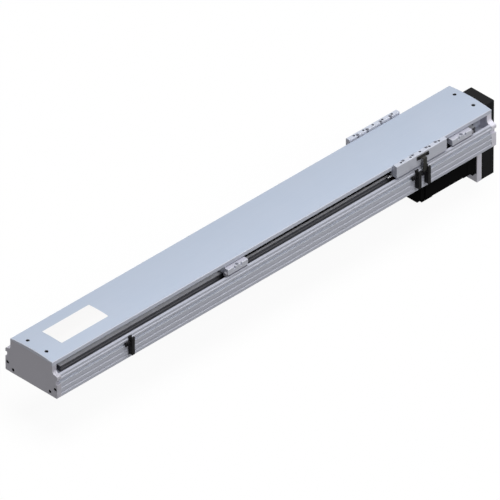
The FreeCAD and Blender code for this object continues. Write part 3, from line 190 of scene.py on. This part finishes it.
# The colour sockets of a Mix node, by number because several of its sockets share a name.
MIX_FACTOR = 0
MIX_BEFORE = 6
MIX_ADDED = 7
MIX_RESULT = 2


class Finish:
    """A procedural material that is built up step by step round one surface shader."""

    def __init__(self, name, color, roughness, metallic=0.0, specular=0.5):
        self.material = bpy.data.materials.new(name)
        self.material.use_nodes = True
        self.tree = self.material.node_tree
        self.shader = self.tree.nodes["Principled BSDF"]
        self.color = (*color, 1)
        self.shader.inputs["Base Color"].default_value = self.color
        self.shader.inputs["Roughness"].default_value = roughness
        self.shader.inputs["Metallic"].default_value = metallic
        self.shader.inputs["Specular IOR Level"].default_value = specular
        self.roughness = roughness
        self.place = self.add("ShaderNodeTexCoord").outputs["Object"]

    def add(self, kind, operation=None, **inputs):
        """A new node of this material."""
        return add_node(self.tree, kind, operation, **inputs)

    def link(self, source, target):
        """Leads the output of one node to the input of another."""
        self.tree.links.new(source, target)

    def noise(self, scale, stretch=(1, 1, 1), detail=3):
        """A grey noise at so many grains a metre, drawn out along the axes with a small stretch."""
        mapping = self.add("ShaderNodeMapping", Scale=stretch)
        self.link(self.place, mapping.inputs["Vector"])
        noise = self.add("ShaderNodeTexNoise", Scale=scale, Detail=detail)
        self.link(mapping.outputs[0], noise.inputs["Vector"])
        return noise.outputs["Fac"]

    def spread(self, source, low, high, start=NOISE_LOW, end=NOISE_HIGH):
        """Turns a stretch of a noise or another value into one between two limits."""
        ramp = self.add("ShaderNodeMapRange", From_Min=start, From_Max=end, To_Min=low, To_Max=high)
        self.link(source, ramp.inputs["Value"])
        return ramp.outputs[0]

    def vary_roughness(self, source, amount):
        """Makes the surface rougher and smoother by an amount as a noise goes."""
        varied = self.spread(source, self.roughness - amount, self.roughness + amount)
        self.link(varied, self.shader.inputs["Roughness"])

    def mix_color(self, factor, color):
        """Mixes another colour in where a mask says so."""
        mix = self.add("ShaderNodeMix")
        mix.data_type = "RGBA"
        before = self.shader.inputs["Base Color"]
        if before.is_linked:
            self.link(before.links[0].from_socket, mix.inputs[MIX_BEFORE])
        else:
            mix.inputs[MIX_BEFORE].default_value = self.color
        mix.inputs[MIX_ADDED].default_value = (*color, 1)
        self.link(factor, mix.inputs[MIX_FACTOR])
        self.link(mix.outputs[MIX_RESULT], before)

    def bump(self, source, height, strength):
        """Raises the surface by up to a height where a noise is bright."""
        bump = self.add("ShaderNodeBump", Strength=strength, Distance=height)
        self.link(source, bump.inputs["Height"])
        self.link(bump.outputs[0], self.shader.inputs["Normal"])

    def painted_top_mask(self):
        """A mask of the faces that look up, where a top colour of painted light and shade goes."""
        split = self.add("ShaderNodeSeparateXYZ")
        self.link(self.add("ShaderNodeNewGeometry").outputs["Normal"], split.inputs[0])
        return self.spread(split.outputs["Z"], 0.0, 1.0, LEVEL_FROM, LEVEL_FULL)

    def painted_slot_mask(self, slot):
        """A mask of the walls of a slot that runs along both sides, where painted light lightens their
        shade.
        """
        split = self.add("ShaderNodeSeparateXYZ")
        self.link(self.place, split.inputs[0])
        across = self.add("ShaderNodeMath", "ABSOLUTE")
        self.link(split.outputs["Y"], across.inputs[0])
        both = self.add("ShaderNodeMath", "MULTIPLY")
        spans = ((across.outputs[0], slot["across"]), (split.outputs["Z"], slot["height"]))
        for number, (source, (low, high)) in enumerate(spans):
            inside = self.add("ShaderNodeMath", "COMPARE")
            inside.inputs[1].default_value = (low + high) / 2
            inside.inputs[2].default_value = (high - low) / 2
            self.link(source, inside.inputs[0])
            self.link(inside.outputs[0], both.inputs[number])
        return both.outputs[0]

    def edges(self, radius, strength):
        """A mask of the edges within a radius, for light wear and a painted highlight there."""
        bevel = self.add("ShaderNodeBevel", Radius=radius)
        bevel.samples = EDGE_SAMPLES
        turn = self.add("ShaderNodeVectorMath", "DOT_PRODUCT")
        self.link(bevel.outputs[0], turn.inputs[0])
        self.link(self.add("ShaderNodeNewGeometry").outputs["Normal"], turn.inputs[1])
        return self.spread(turn.outputs["Value"], 0.0, strength, 1.0, EDGE_FULL)


# Aluminium: drawing lines and clouds at so many grains a metre, and edges made bright, partly by wear and
# partly as a painted highlight.
DRAWN_GRAIN = 900
DRAWN_ROUGHNESS = 0.06
DRAWN_MIX = 0.10
DRAWN_HEIGHT = 0.01 * MM
DRAWN_BUMP = 0.25
CLOUD_GRAIN = 14
CLOUD_SHADE = 0.9
CLOUD_MIX = 0.12
BRIGHT_EDGE = 0.8 * MM
BRIGHT_EDGE_MIX = 0.7

# Steel: fine lines from grinding or turning.
GROUND_GRAIN = 1500
GROUND_ROUGHNESS = 0.08
GROUND_SHADE = 0.8
GROUND_MIX = 0.25
GROUND_HEIGHT = 0.01 * MM
GROUND_BUMP = 0.3

# Plastic, paint, rubber, film and oxide: a fine grain, patches of other gloss, and paler edges, partly wear
# and partly a painted highlight.
GRAIN_SHADE = 1.5
GRAIN_MIX = 0.3
GRAIN_BUMP = 0.4
PATCH_GRAIN = 40
PATCH_ROUGHNESS = 0.05
PALE_EDGE = 0.6 * MM
PALE_EDGE_MIX = 0.6


def shaded(color, factor):
    """A colour that is so much darker or lighter."""
    return tuple(min(1, channel * factor) for channel in color)


def aluminium(name, color, edge_color, stretch, roughness=0.42, metallic=0.12, top_painted_light=None, slot=None):
    """Anodised aluminium with faint drawing lines and lighter edges.

    Some pieces have a colour painted on their tops that stands in for the light and shade there, and an
    extrusion's slot walls are painted brighter, as painted light against the shade in the slot.
    """
    finish = Finish(name, color, roughness, metallic)
    lines = finish.noise(DRAWN_GRAIN, stretch)
    clouds = finish.noise(CLOUD_GRAIN, detail=2)
    finish.vary_roughness(lines, DRAWN_ROUGHNESS)
    if top_painted_light:
        # Painted colour on the tops, for how the light falls on them.
        finish.mix_color(finish.painted_top_mask(), top_painted_light)
    if slot:
        # Painted light on the slot walls, against the shade inside the slot.
        finish.mix_color(finish.painted_slot_mask(slot), slot["color"])
    finish.mix_color(finish.spread(clouds, 0.0, CLOUD_MIX), shaded(color, CLOUD_SHADE))
    finish.mix_color(finish.spread(lines, 0.0, DRAWN_MIX), edge_color)
    # Bright edges: light wear and a painted highlight.
    finish.mix_color(finish.edges(BRIGHT_EDGE, BRIGHT_EDGE_MIX), edge_color)
    finish.bump(lines, DRAWN_HEIGHT, DRAWN_BUMP)
    return finish.material


def steel(name, color, stretch, roughness=0.3, metallic=0.9, top_painted_light=None):
    """Ground or turned steel; a rail has painted light on its top, which is far brighter than its dark
    flanks.
    """
    finish = Finish(name, color, roughness, metallic)
    lines = finish.noise(GROUND_GRAIN, stretch)
    finish.vary_roughness(lines, GROUND_ROUGHNESS)
    if top_painted_light:
        # Painted light on the top of a rail.
        finish.mix_color(finish.painted_top_mask(), top_painted_light)
    finish.mix_color(finish.spread(lines, 0.0, GROUND_MIX), shaded(color, GROUND_SHADE))
    finish.bump(lines, GROUND_HEIGHT, GROUND_BUMP)
    return finish.material


def grained(name, color, edge_color, roughness, grain, height, metallic=0.0, specular=0.03):
    """Plastic, paint, rubber, film or oxide with a fine grain."""
    finish = Finish(name, color, roughness, metallic, specular)
    grains = finish.noise(grain, detail=2)
    patches = finish.noise(PATCH_GRAIN, detail=2)
    finish.vary_roughness(patches, PATCH_ROUGHNESS)
    finish.mix_color(finish.spread(grains, 0.0, GRAIN_MIX), shaded(color, GRAIN_SHADE))
    # Paler edges: light wear and a painted highlight.
    finish.mix_color(finish.edges(PALE_EDGE, PALE_EDGE_MIX), edge_color)
    finish.bump(grains, height, GRAIN_BUMP)
    return finish.material


# The finishes of the record's material slots.
ALONG_X = (0.02, 1, 1)
EVEN = (1, 1, 1)
PALE = (0.78, 0.82, 0.88)
MATERIALS = {
    # The top colours below are painted: shade on the aluminium tops, light on the rail's top.
    "anodised_aluminium": aluminium("anodised_aluminium", (0.59, 0.615, 0.70), PALE, ALONG_X,
                                    top_painted_light=(0.535, 0.577, 0.68)),
    "cover_aluminium": aluminium("cover_aluminium", (0.59, 0.62, 0.71), (0.72, 0.77, 0.85), ALONG_X,
                                 roughness=0.48, metallic=0.1, top_painted_light=(0.425, 0.495, 0.615)),
    "rail_steel": steel("rail_steel", (0.10, 0.10, 0.11), ALONG_X, roughness=0.38, metallic=0.2,
                        top_painted_light=(0.90, 0.91, 0.94)),
    "screw_steel": steel("screw_steel", (0.62, 0.63, 0.65), EVEN),
    "black_oxide": grained("black_oxide", (0.012, 0.012, 0.015), (0.05, 0.05, 0.055), roughness=0.42,
                           grain=3000, height=0.01 * MM, metallic=0.3),
    "black_plastic": grained("black_plastic", (0.028, 0.028, 0.030), (0.04, 0.04, 0.044), roughness=0.5,
                             grain=2200, height=0.02 * MM),
    "black_paint": grained("black_paint", (0.004, 0.004, 0.0045), (0.02, 0.02, 0.022), roughness=0.45,
                           grain=1400, height=0.015 * MM),
    "wiper_plastic": grained("wiper_plastic", (0.030, 0.016, 0.016), (0.08, 0.05, 0.05), roughness=0.5,
                             grain=2000, height=0.02 * MM),
    "bush_plastic": grained("bush_plastic", (0.72, 0.72, 0.68), (0.85, 0.85, 0.82), roughness=0.45,
                            grain=2200, height=0.01 * MM),
    "rubber": grained("rubber", (0.02, 0.02, 0.02), (0.04, 0.04, 0.04), roughness=0.8,
                      grain=1800, height=0.02 * MM),
    "bumper_rubber": grained("bumper_rubber", (0.25, 0.25, 0.28), (0.35, 0.35, 0.38), roughness=0.8,
                             grain=1800, height=0.02 * MM),
}

# The slots along the base: their walls between two depths below its sides, and half of their height, and the
# painted light that lightens the shade on these walls.
SLOT_FRONT = 0.1 * MM
SLOT_BACK = 5.8 * MM
SLOT_HALF = 6.2 * MM
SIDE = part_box("base_profile")[1].y
SLOT_HEIGHT = (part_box("slot_nuts")[0].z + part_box("slot_nuts")[1].z) / 2
SLOT_PAINTED_LIGHT = {
    "across": (SIDE - SLOT_BACK, SIDE - SLOT_FRONT),
    "height": (SLOT_HEIGHT - SLOT_HALF, SLOT_HEIGHT + SLOT_HALF),
    "color": (0.74, 0.77, 0.84),
}

# Finishes of single nodes that look different from the rest of their slot.
# The base profile's slot walls carry painted light.
DRAWN_PROFILE = aluminium("drawn_profile", (0.52, 0.54, 0.625), PALE, ALONG_X, slot=SLOT_PAINTED_LIGHT)
# The near end cap is darker all over: painted shade, for the end face that the light leaves dark.
SHADED_END_CAP = aluminium("shaded_end_cap", (0.53, 0.523, 0.59), PALE, EVEN)
MILLED_PLATE = aluminium("milled_plate", (0.76, 0.75, 0.84), (0.84, 0.84, 0.90), EVEN)
# The support plates' top colour is painted shade on their tops.
SUPPORT_PLATE = aluminium("support_plate", (0.60, 0.62, 0.70), PALE, ALONG_X,
                          top_painted_light=(0.485, 0.486, 0.567))
# Screws deep in their counterbores: a dark steel as painted shade in the holes.
SHADED_SUNK_STEEL = steel("shaded_sunk_steel", (0.24, 0.25, 0.30), EVEN, roughness=0.5, metallic=0.3)
MOTOR_BLACK = grained("motor_black", (0.0070, 0.0070, 0.0072), (0.012, 0.012, 0.012), roughness=0.6,
                      grain=1400, height=0.015 * MM, specular=0.005)
HOUSING_BLACK = grained("housing_black", (0.020, 0.020, 0.021), (0.04, 0.04, 0.04), roughness=0.5,
                        grain=1400, height=0.015 * MM, specular=0.01)
FLAG_GREY = grained("flag_grey", (0.055, 0.055, 0.052), (0.10, 0.10, 0.10), roughness=0.5,
                    grain=2200, height=0.015 * MM)
PAD_GREY = grained("pad_grey", (0.20, 0.20, 0.24), (0.30, 0.30, 0.34), roughness=0.6,
                   grain=1800, height=0.015 * MM)
NODE_LOOKS = {
    "base_profile": DRAWN_PROFILE,
    "near_end_cap": SHADED_END_CAP,
    "motor_plate": MILLED_PLATE,
    "support_near": SUPPORT_PLATE,
    "support_far": SUPPORT_PLATE,
    "support_screws": SHADED_SUNK_STEEL,
    "wing_screws": SHADED_SUNK_STEEL,
    "motor_flange": MOTOR_BLACK,
    "motor_body": MOTOR_BLACK,
    "encoder_cap": MOTOR_BLACK,
    "motor_socket": MOTOR_BLACK,
    "belt_cover": HOUSING_BLACK,
    "sensor_flag": FLAG_GREY,
    "glide_pads": PAD_GREY,
}

# Finishes of pieces that only the scene has.
# The wing holes' threads: a dark sheet of painted shade inside the holes.
SHADED_THREAD = aluminium("shaded_thread", (0.045, 0.05, 0.075), (0.09, 0.10, 0.14), EVEN)
STICKER_FILM = grained("sticker_film", (0.90, 0.90, 0.90), (0.95, 0.95, 0.95), roughness=0.45,
                       grain=2500, height=0.004 * MM)
PIN_GOLD = steel("pin_gold", (0.80, 0.58, 0.22), EVEN, roughness=0.25)

# Meshes: points closer than this are one, cuts are this exact, and sharper edges than this stay sharp.
WELD = 1e-6
CUT = 1e-7
SHARP = math.radians(35)


def dress_nodes():
    """Gives every CAD node the finish of its slot in the record, or a look of its own."""
    slots = {part["node"]: part["material_slot"] for part in frame["record"]["subparts"]}
    for name, node in frame["nodes"].items():
        node.data.materials.clear()
        node.data.materials.append(NODE_LOOKS.get(name, MATERIALS[slots[name]]))


def finish_mesh(name, work):
    """Turns an edited mesh into a clean one, smooth apart from its sharp edges."""
    bmesh.ops.remove_doubles(work, verts=work.verts, dist=WELD)
    bmesh.ops.dissolve_degenerate(work, edges=work.edges, dist=WELD)
    bmesh.ops.recalc_face_normals(work, faces=work.faces)
    for face in work.faces:
        face.smooth = True
    for edge in work.edges:
        edge.smooth = len(edge.link_faces) == 2 and edge.calc_face_angle(0) < SHARP
    mesh = bpy.data.meshes.new(name)
    work.to_mesh(mesh)
    work.free()
    return mesh


def new_piece(name, work, body, slot, material=None):
    """An edited mesh as a piece that moves with a body and takes the finish of a slot, or a finish that is
    given instead.
    """
    mesh = finish_mesh(name, work)
    piece = bpy.data.objects.new(name, mesh)
    bpy.context.collection.objects.link(piece)
    mesh.materials.append(material or MATERIALS[slot])
    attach(piece, body)
    return piece


def skin_rows(work, rows, steps):
    """Faces between rows of points, over so many steps along a row; after its last point comes its first."""
    for low, high in zip(rows, rows[1:]):
        for i in range(steps):
            j = (i + 1) % len(low)
            work.faces.new((low[i], low[j], high[j], high[i]))


def add_rings(work, rings):
    """A solid inside a row of equal rings of points, with a flat end on each side."""
    rows = [[work.verts.new(point) for point in ring] for ring in rings]
    skin_rows(work, rows, len(rows[0]))
    work.faces.new(reversed(rows[0]))
    work.faces.new(rows[-1])


def add_turned(work, profile, origin, axis, sides):
    """A solid turned about an axis, from pairs of distance along it and radius."""
    turn = axis.to_track_quat("X", "Z")
    angles = [2 * math.pi * i / sides for i in range(sides)]
    rings = []
    for along, radius in profile:
        ring = [(along, radius * math.cos(angle), radius * math.sin(angle)) for angle in angles]
        rings.append([origin + turn @ Vector(point) for point in ring])
    add_rings(work, rings)


def add_winding(work, section, lead, length, sides):
    """The open skin of a section that winds on by a lead each turn, a turn too long at both ends."""
    rows = []
    for step in range(-sides, int(length / lead * sides) + sides):
        angle = 2 * math.pi * step / sides
        start = lead * step / sides
        rows.append([work.verts.new((start + along, radius * math.cos(angle), radius * math.sin(angle)))
                     for along, radius in section])
    skin_rows(work, rows, len(section) - 1)


def close_end(work, place, outward):
    """Cuts a winding off square at a place and closes it there."""
    everything = work.verts[:] + work.edges[:] + work.faces[:]
    cut = bmesh.ops.bisect_plane(work, geom=everything, dist=CUT, plane_co=(place, 0, 0),
                                 plane_no=(outward, 0, 0), clear_outer=True)
    rim = [item for item in cut["geom_cut"] if isinstance(item, bmesh.types.BMEdge)]
    bmesh.ops.triangle_fill(work, use_beauty=True, edges=rim, normal=(outward, 0, 0))


def add_thread(work, skins, lead, length, origin, axis, sides):
    """A closed threaded solid that starts at a point and goes along an axis.

    Each skin is a section, pairs of place and radius over one lead. Two skins, an inner and an outer one,
    make a sleeve.
    """
    thread = bmesh.new()
    for section in skins:
        add_winding(thread, section, lead, length, sides)
    bmesh.ops.remove_doubles(thread, verts=thread.verts, dist=WELD)
    close_end(thread, 0, -1)
    close_end(thread, length, 1)
    turn = axis.to_track_quat("X", "Z").to_matrix().to_4x4()
    bmesh.ops.transform(thread, matrix=Matrix.Translation(origin) @ turn, verts=thread.verts)
    part = bpy.data.meshes.new("thread")
    thread.to_mesh(part)
    thread.free()
    work.from_mesh(part)
    bpy.data.meshes.remove(part)


def centred(low, high, count, pitch):
    """Places at a pitch, evenly to both sides of the middle between two limits."""
    return [(low + high) / 2 + (number - (count - 1) / 2) * pitch for number in range(count)]


# Ball screw: the lead and the round groove of its balls, and the radii of its journals.
SCREW_LEAD = 20 * MM
SCREW_SIDES = 24
GROOVE_WIDTH = 3.6 * MM
GROOVE_DEPTH = 1.1 * MM
GROOVE_POINTS = 6
NEAR_JOURNAL = 5 * MM
FAR_JOURNAL = 6 * MM
JOURNAL_BREAK = 0.5 * MM


def make_ball_screw():
    """The screw with its ball groove, between the same shoulders and journals as the solid."""
    low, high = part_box("ball_screw")
    near_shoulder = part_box("near_bearing_inner")[1].x
    far_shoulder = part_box("far_bearing_inner")[0].x
    nut_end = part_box("lock_nut")[1].x
    height = (low.z + high.z) / 2
    radius = (high.z - low.z) / 2
    along_x = Vector((1, 0, 0))
    half = GROOVE_WIDTH / 2
    section = [(-half, radius)]
    for point in range(1, GROOVE_POINTS):
        angle = math.pi * point / GROOVE_POINTS
        section.append((-half * math.cos(angle), radius - GROOVE_DEPTH * math.sin(angle)))
    section += [(half, radius), (SCREW_LEAD - half, radius)]
    work = bmesh.new()
    start = Vector((near_shoulder, 0, height))
    add_thread(work, [section], SCREW_LEAD, far_shoulder - near_shoulder, start, along_x, SCREW_SIDES)
    near_end = [(low.x, NEAR_JOURNAL - JOURNAL_BREAK), (low.x + JOURNAL_BREAK, NEAR_JOURNAL),
                (near_shoulder, NEAR_JOURNAL)]
    far_end = [(far_shoulder, FAR_JOURNAL), (nut_end, FAR_JOURNAL), (nut_end, NEAR_JOURNAL),
               (high.x - JOURNAL_BREAK, NEAR_JOURNAL), (high.x, NEAR_JOURNAL - JOURNAL_BREAK)]
    for journal in (near_end, far_end):
        add_turned(work, journal, Vector((0, 0, height)), along_x, SCREW_SIDES)
    screw = new_piece("ball_screw_thread", work, "screw", "screw_steel")
    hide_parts("ball_screw")


# Tapped holes: their thread, a thin sleeve that starts a little inside, and their places.
HOLE_RADIUS = 2.5 * MM
HOLE_PITCH = 1 * MM
HOLE_SIDES = 12
THREAD_DEPTH = 0.35 * MM
THREAD_START = 0.6 * MM
THREAD_WALL = 0.1 * MM
WING_HOLES = 5
WING_PITCH = 25 * MM
WING_THREAD = 12 * MM
MOUNT_HOLES = 6
MOUNT_PITCH = 200 * MM
MOUNT_OFFSET = 45 * MM
MOUNT_THREAD = 8 * MM


def add_hole_thread(work, origin, axis, length):
    """The thread of one tapped hole."""
    crest = HOLE_RADIUS - THREAD_DEPTH
    wall = HOLE_RADIUS + THREAD_WALL
    inner = [(0, HOLE_RADIUS), (HOLE_PITCH / 2, crest), (HOLE_PITCH, HOLE_RADIUS)]
    outer = [(0, wall), (HOLE_PITCH, wall)]
    add_thread(work, [inner, outer], HOLE_PITCH, length, origin, axis, HOLE_SIDES)


def make_wing_threads():
    """The threads in the tops of the wings, dark as painted shade inside the holes."""
    for side in ("left", "right"):
        low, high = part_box(f"wing_{side}")
        work = bmesh.new()
        for x in centred(low.x, high.x, WING_HOLES, WING_PITCH):
            top = Vector((x, (low.y + high.y) / 2, high.z - THREAD_START))
            add_hole_thread(work, top, Vector((0, 0, -1)), WING_THREAD)
        new_piece(f"wing_thread_{side}", work, "slider", "anodised_aluminium", SHADED_THREAD)


def make_mount_threads():
    """The threads in the underside of the base."""
    low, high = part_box("base_profile")
    work = bmesh.new()
    for x in centred(low.x, high.x, MOUNT_HOLES, MOUNT_PITCH):
        for y in (-MOUNT_OFFSET, MOUNT_OFFSET):
            bottom = Vector((x, y, low.z + THREAD_START))
            add_hole_thread(work, bottom, Vector((0, 0, 1)), MOUNT_THREAD)
    new_piece("mount_thread", work, "base", "anodised_aluminium")


# Sticker: a thin film with round corners that follows the cover's crown, an arc of this rise.
STICKER_START = -520 * MM
STICKER_END = -399 * MM
STICKER_HALF = 25.6 * MM
STICKER_ROUND = 2 * MM
STICKER_STEPS = 4
STICKER_STRIPS = 12
STICKER_THICKNESS = 0.15 * MM
CROWN_RISE = 3.5 * MM
CROWN_HALF = 54 * MM
CROWN_RADIUS = (CROWN_HALF ** 2 + CROWN_RISE ** 2) / (2 * CROWN_RISE)


def make_sticker():
    """A plain sheet on the crowned cover near its near end."""
    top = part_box("top_cover")[1].z
    turns = [math.pi / 2 * step / STICKER_STEPS for step in range(STICKER_STEPS)]
    flat = STICKER_HALF - STICKER_ROUND
    side = [(flat + STICKER_ROUND * math.cos(turn), STICKER_ROUND * (1 - math.sin(turn))) for turn in turns]
    middle = [(flat * (1 - 2 * strip / STICKER_STRIPS), 0) for strip in range(STICKER_STRIPS + 1)]
    rings = []
    for y, inset in side + middle + [(-y, inset) for y, inset in reversed(side)]:
        skin = top - CROWN_RADIUS + math.sqrt(CROWN_RADIUS ** 2 - y ** 2)
        film = skin + STICKER_THICKNESS
        low = STICKER_START + inset
        high = STICKER_END - inset
        rings.append([(low, y, skin), (high, y, skin), (high, y, film), (low, y, film)])
    work = bmesh.new()
    add_rings(work, rings)
    new_piece("blank_sticker", work, "base", "bush_plastic", STICKER_FILM)


# Rail caps, one in each screw hole of a rail.
CAP_RADIUS = 3.6 * MM
CAP_THICKNESS = 1.4 * MM
CAP_SIDES = 24
RAIL_BOLTS = 9
RAIL_PITCH = 120 * MM


def make_rail_caps():
    """The flush caps that close the rails' screw holes."""
    cap = [(0, CAP_RADIUS), (CAP_THICKNESS, CAP_RADIUS)]
    work = bmesh.new()
    for side in ("left", "right"):
        low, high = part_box(f"rail_{side}")
        for x in centred(low.x, high.x, RAIL_BOLTS, RAIL_PITCH):
            top = Vector((x, (low.y + high.y) / 2, high.z))
            add_turned(work, cap, top, Vector((0, 0, -1)), CAP_SIDES)
    new_piece("rail_caps", work, "base", "rail_steel")


# Grease nipples: their places on a wiper's face, and a hexagon with a turned head, as distance and radius.
NIPPLE_Y = 49.5 * MM
NIPPLE_Z = 50.8 * MM
NIPPLE_HEXAGON = [(0, 2.9 * MM), (3.5 * MM, 2.9 * MM)]
NIPPLE_HEAD = [(3.5 * MM, 2 * MM), (7 * MM, 2 * MM), (8 * MM, 1.4 * MM), (9 * MM, 2.1 * MM),
               (10.5 * MM, 2.3 * MM), (12 * MM, 1.7 * MM), (12.6 * MM, 0.8 * MM)]
NIPPLE_SIDES = 20
HEXAGON_SIDES = 6


def make_nipples():
    """Grease nipples on the wiper caps at the near end of the carriage."""
    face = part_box("guide_wipers")[0].x
    out = Vector((-1, 0, 0))
    work = bmesh.new()
    for y in (-NIPPLE_Y, NIPPLE_Y):
        origin = Vector((face, y, NIPPLE_Z))
        add_turned(work, NIPPLE_HEXAGON, origin, out, HEXAGON_SIDES)
        add_turned(work, NIPPLE_HEAD, origin, out, NIPPLE_SIDES)
    new_piece("grease_nipples", work, "slider", "screw_steel")


# Motor socket: a disc at its bottom and a circle of pins that stand on the disc.
INSERT_RADIUS = 5.9 * MM
INSERT_THICKNESS = 1.5 * MM
INSERT_SIDES = 32
PIN_COUNT = 6
PIN_CIRCLE = 3.4 * MM
PIN_PROFILE = [(INSERT_THICKNESS, 0.5 * MM), (6.5 * MM, 0.5 * MM), (7 * MM, 0.25 * MM)]
PIN_SIDES = 12


def make_socket_pins():
    """The insert and the contact pins inside the motor's socket."""
    low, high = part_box("motor_socket")
    middle = Vector((high.x, (low.y + high.y) / 2, (low.z + high.z) / 2))
    out = Vector((-1, 0, 0))
    insert = bmesh.new()
    add_turned(insert, [(0, INSERT_RADIUS), (INSERT_THICKNESS, INSERT_RADIUS)], middle, out, INSERT_SIDES)
    new_piece("socket_insert", insert, "base", "black_plastic")
    pins = bmesh.new()
    for number in range(PIN_COUNT):
        angle = 2 * math.pi * number / PIN_COUNT
        spot = middle + PIN_CIRCLE * Vector((0, math.cos(angle), math.sin(angle)))
        add_turned(pins, PIN_PROFILE, spot, out, PIN_SIDES)
    new_piece("socket_pins", pins, "base", "screw_steel", PIN_GOLD)


bpy.context.scene.view_settings.view_transform = "Standard"
make_world()
make_floor(CAD_BOX[0][2])
make_lights()
make_camera()
dress_nodes()
make_ball_screw()
make_wing_threads()
make_mount_threads()
make_sticker()
make_rail_caps()
make_nipples()
make_socket_pins()
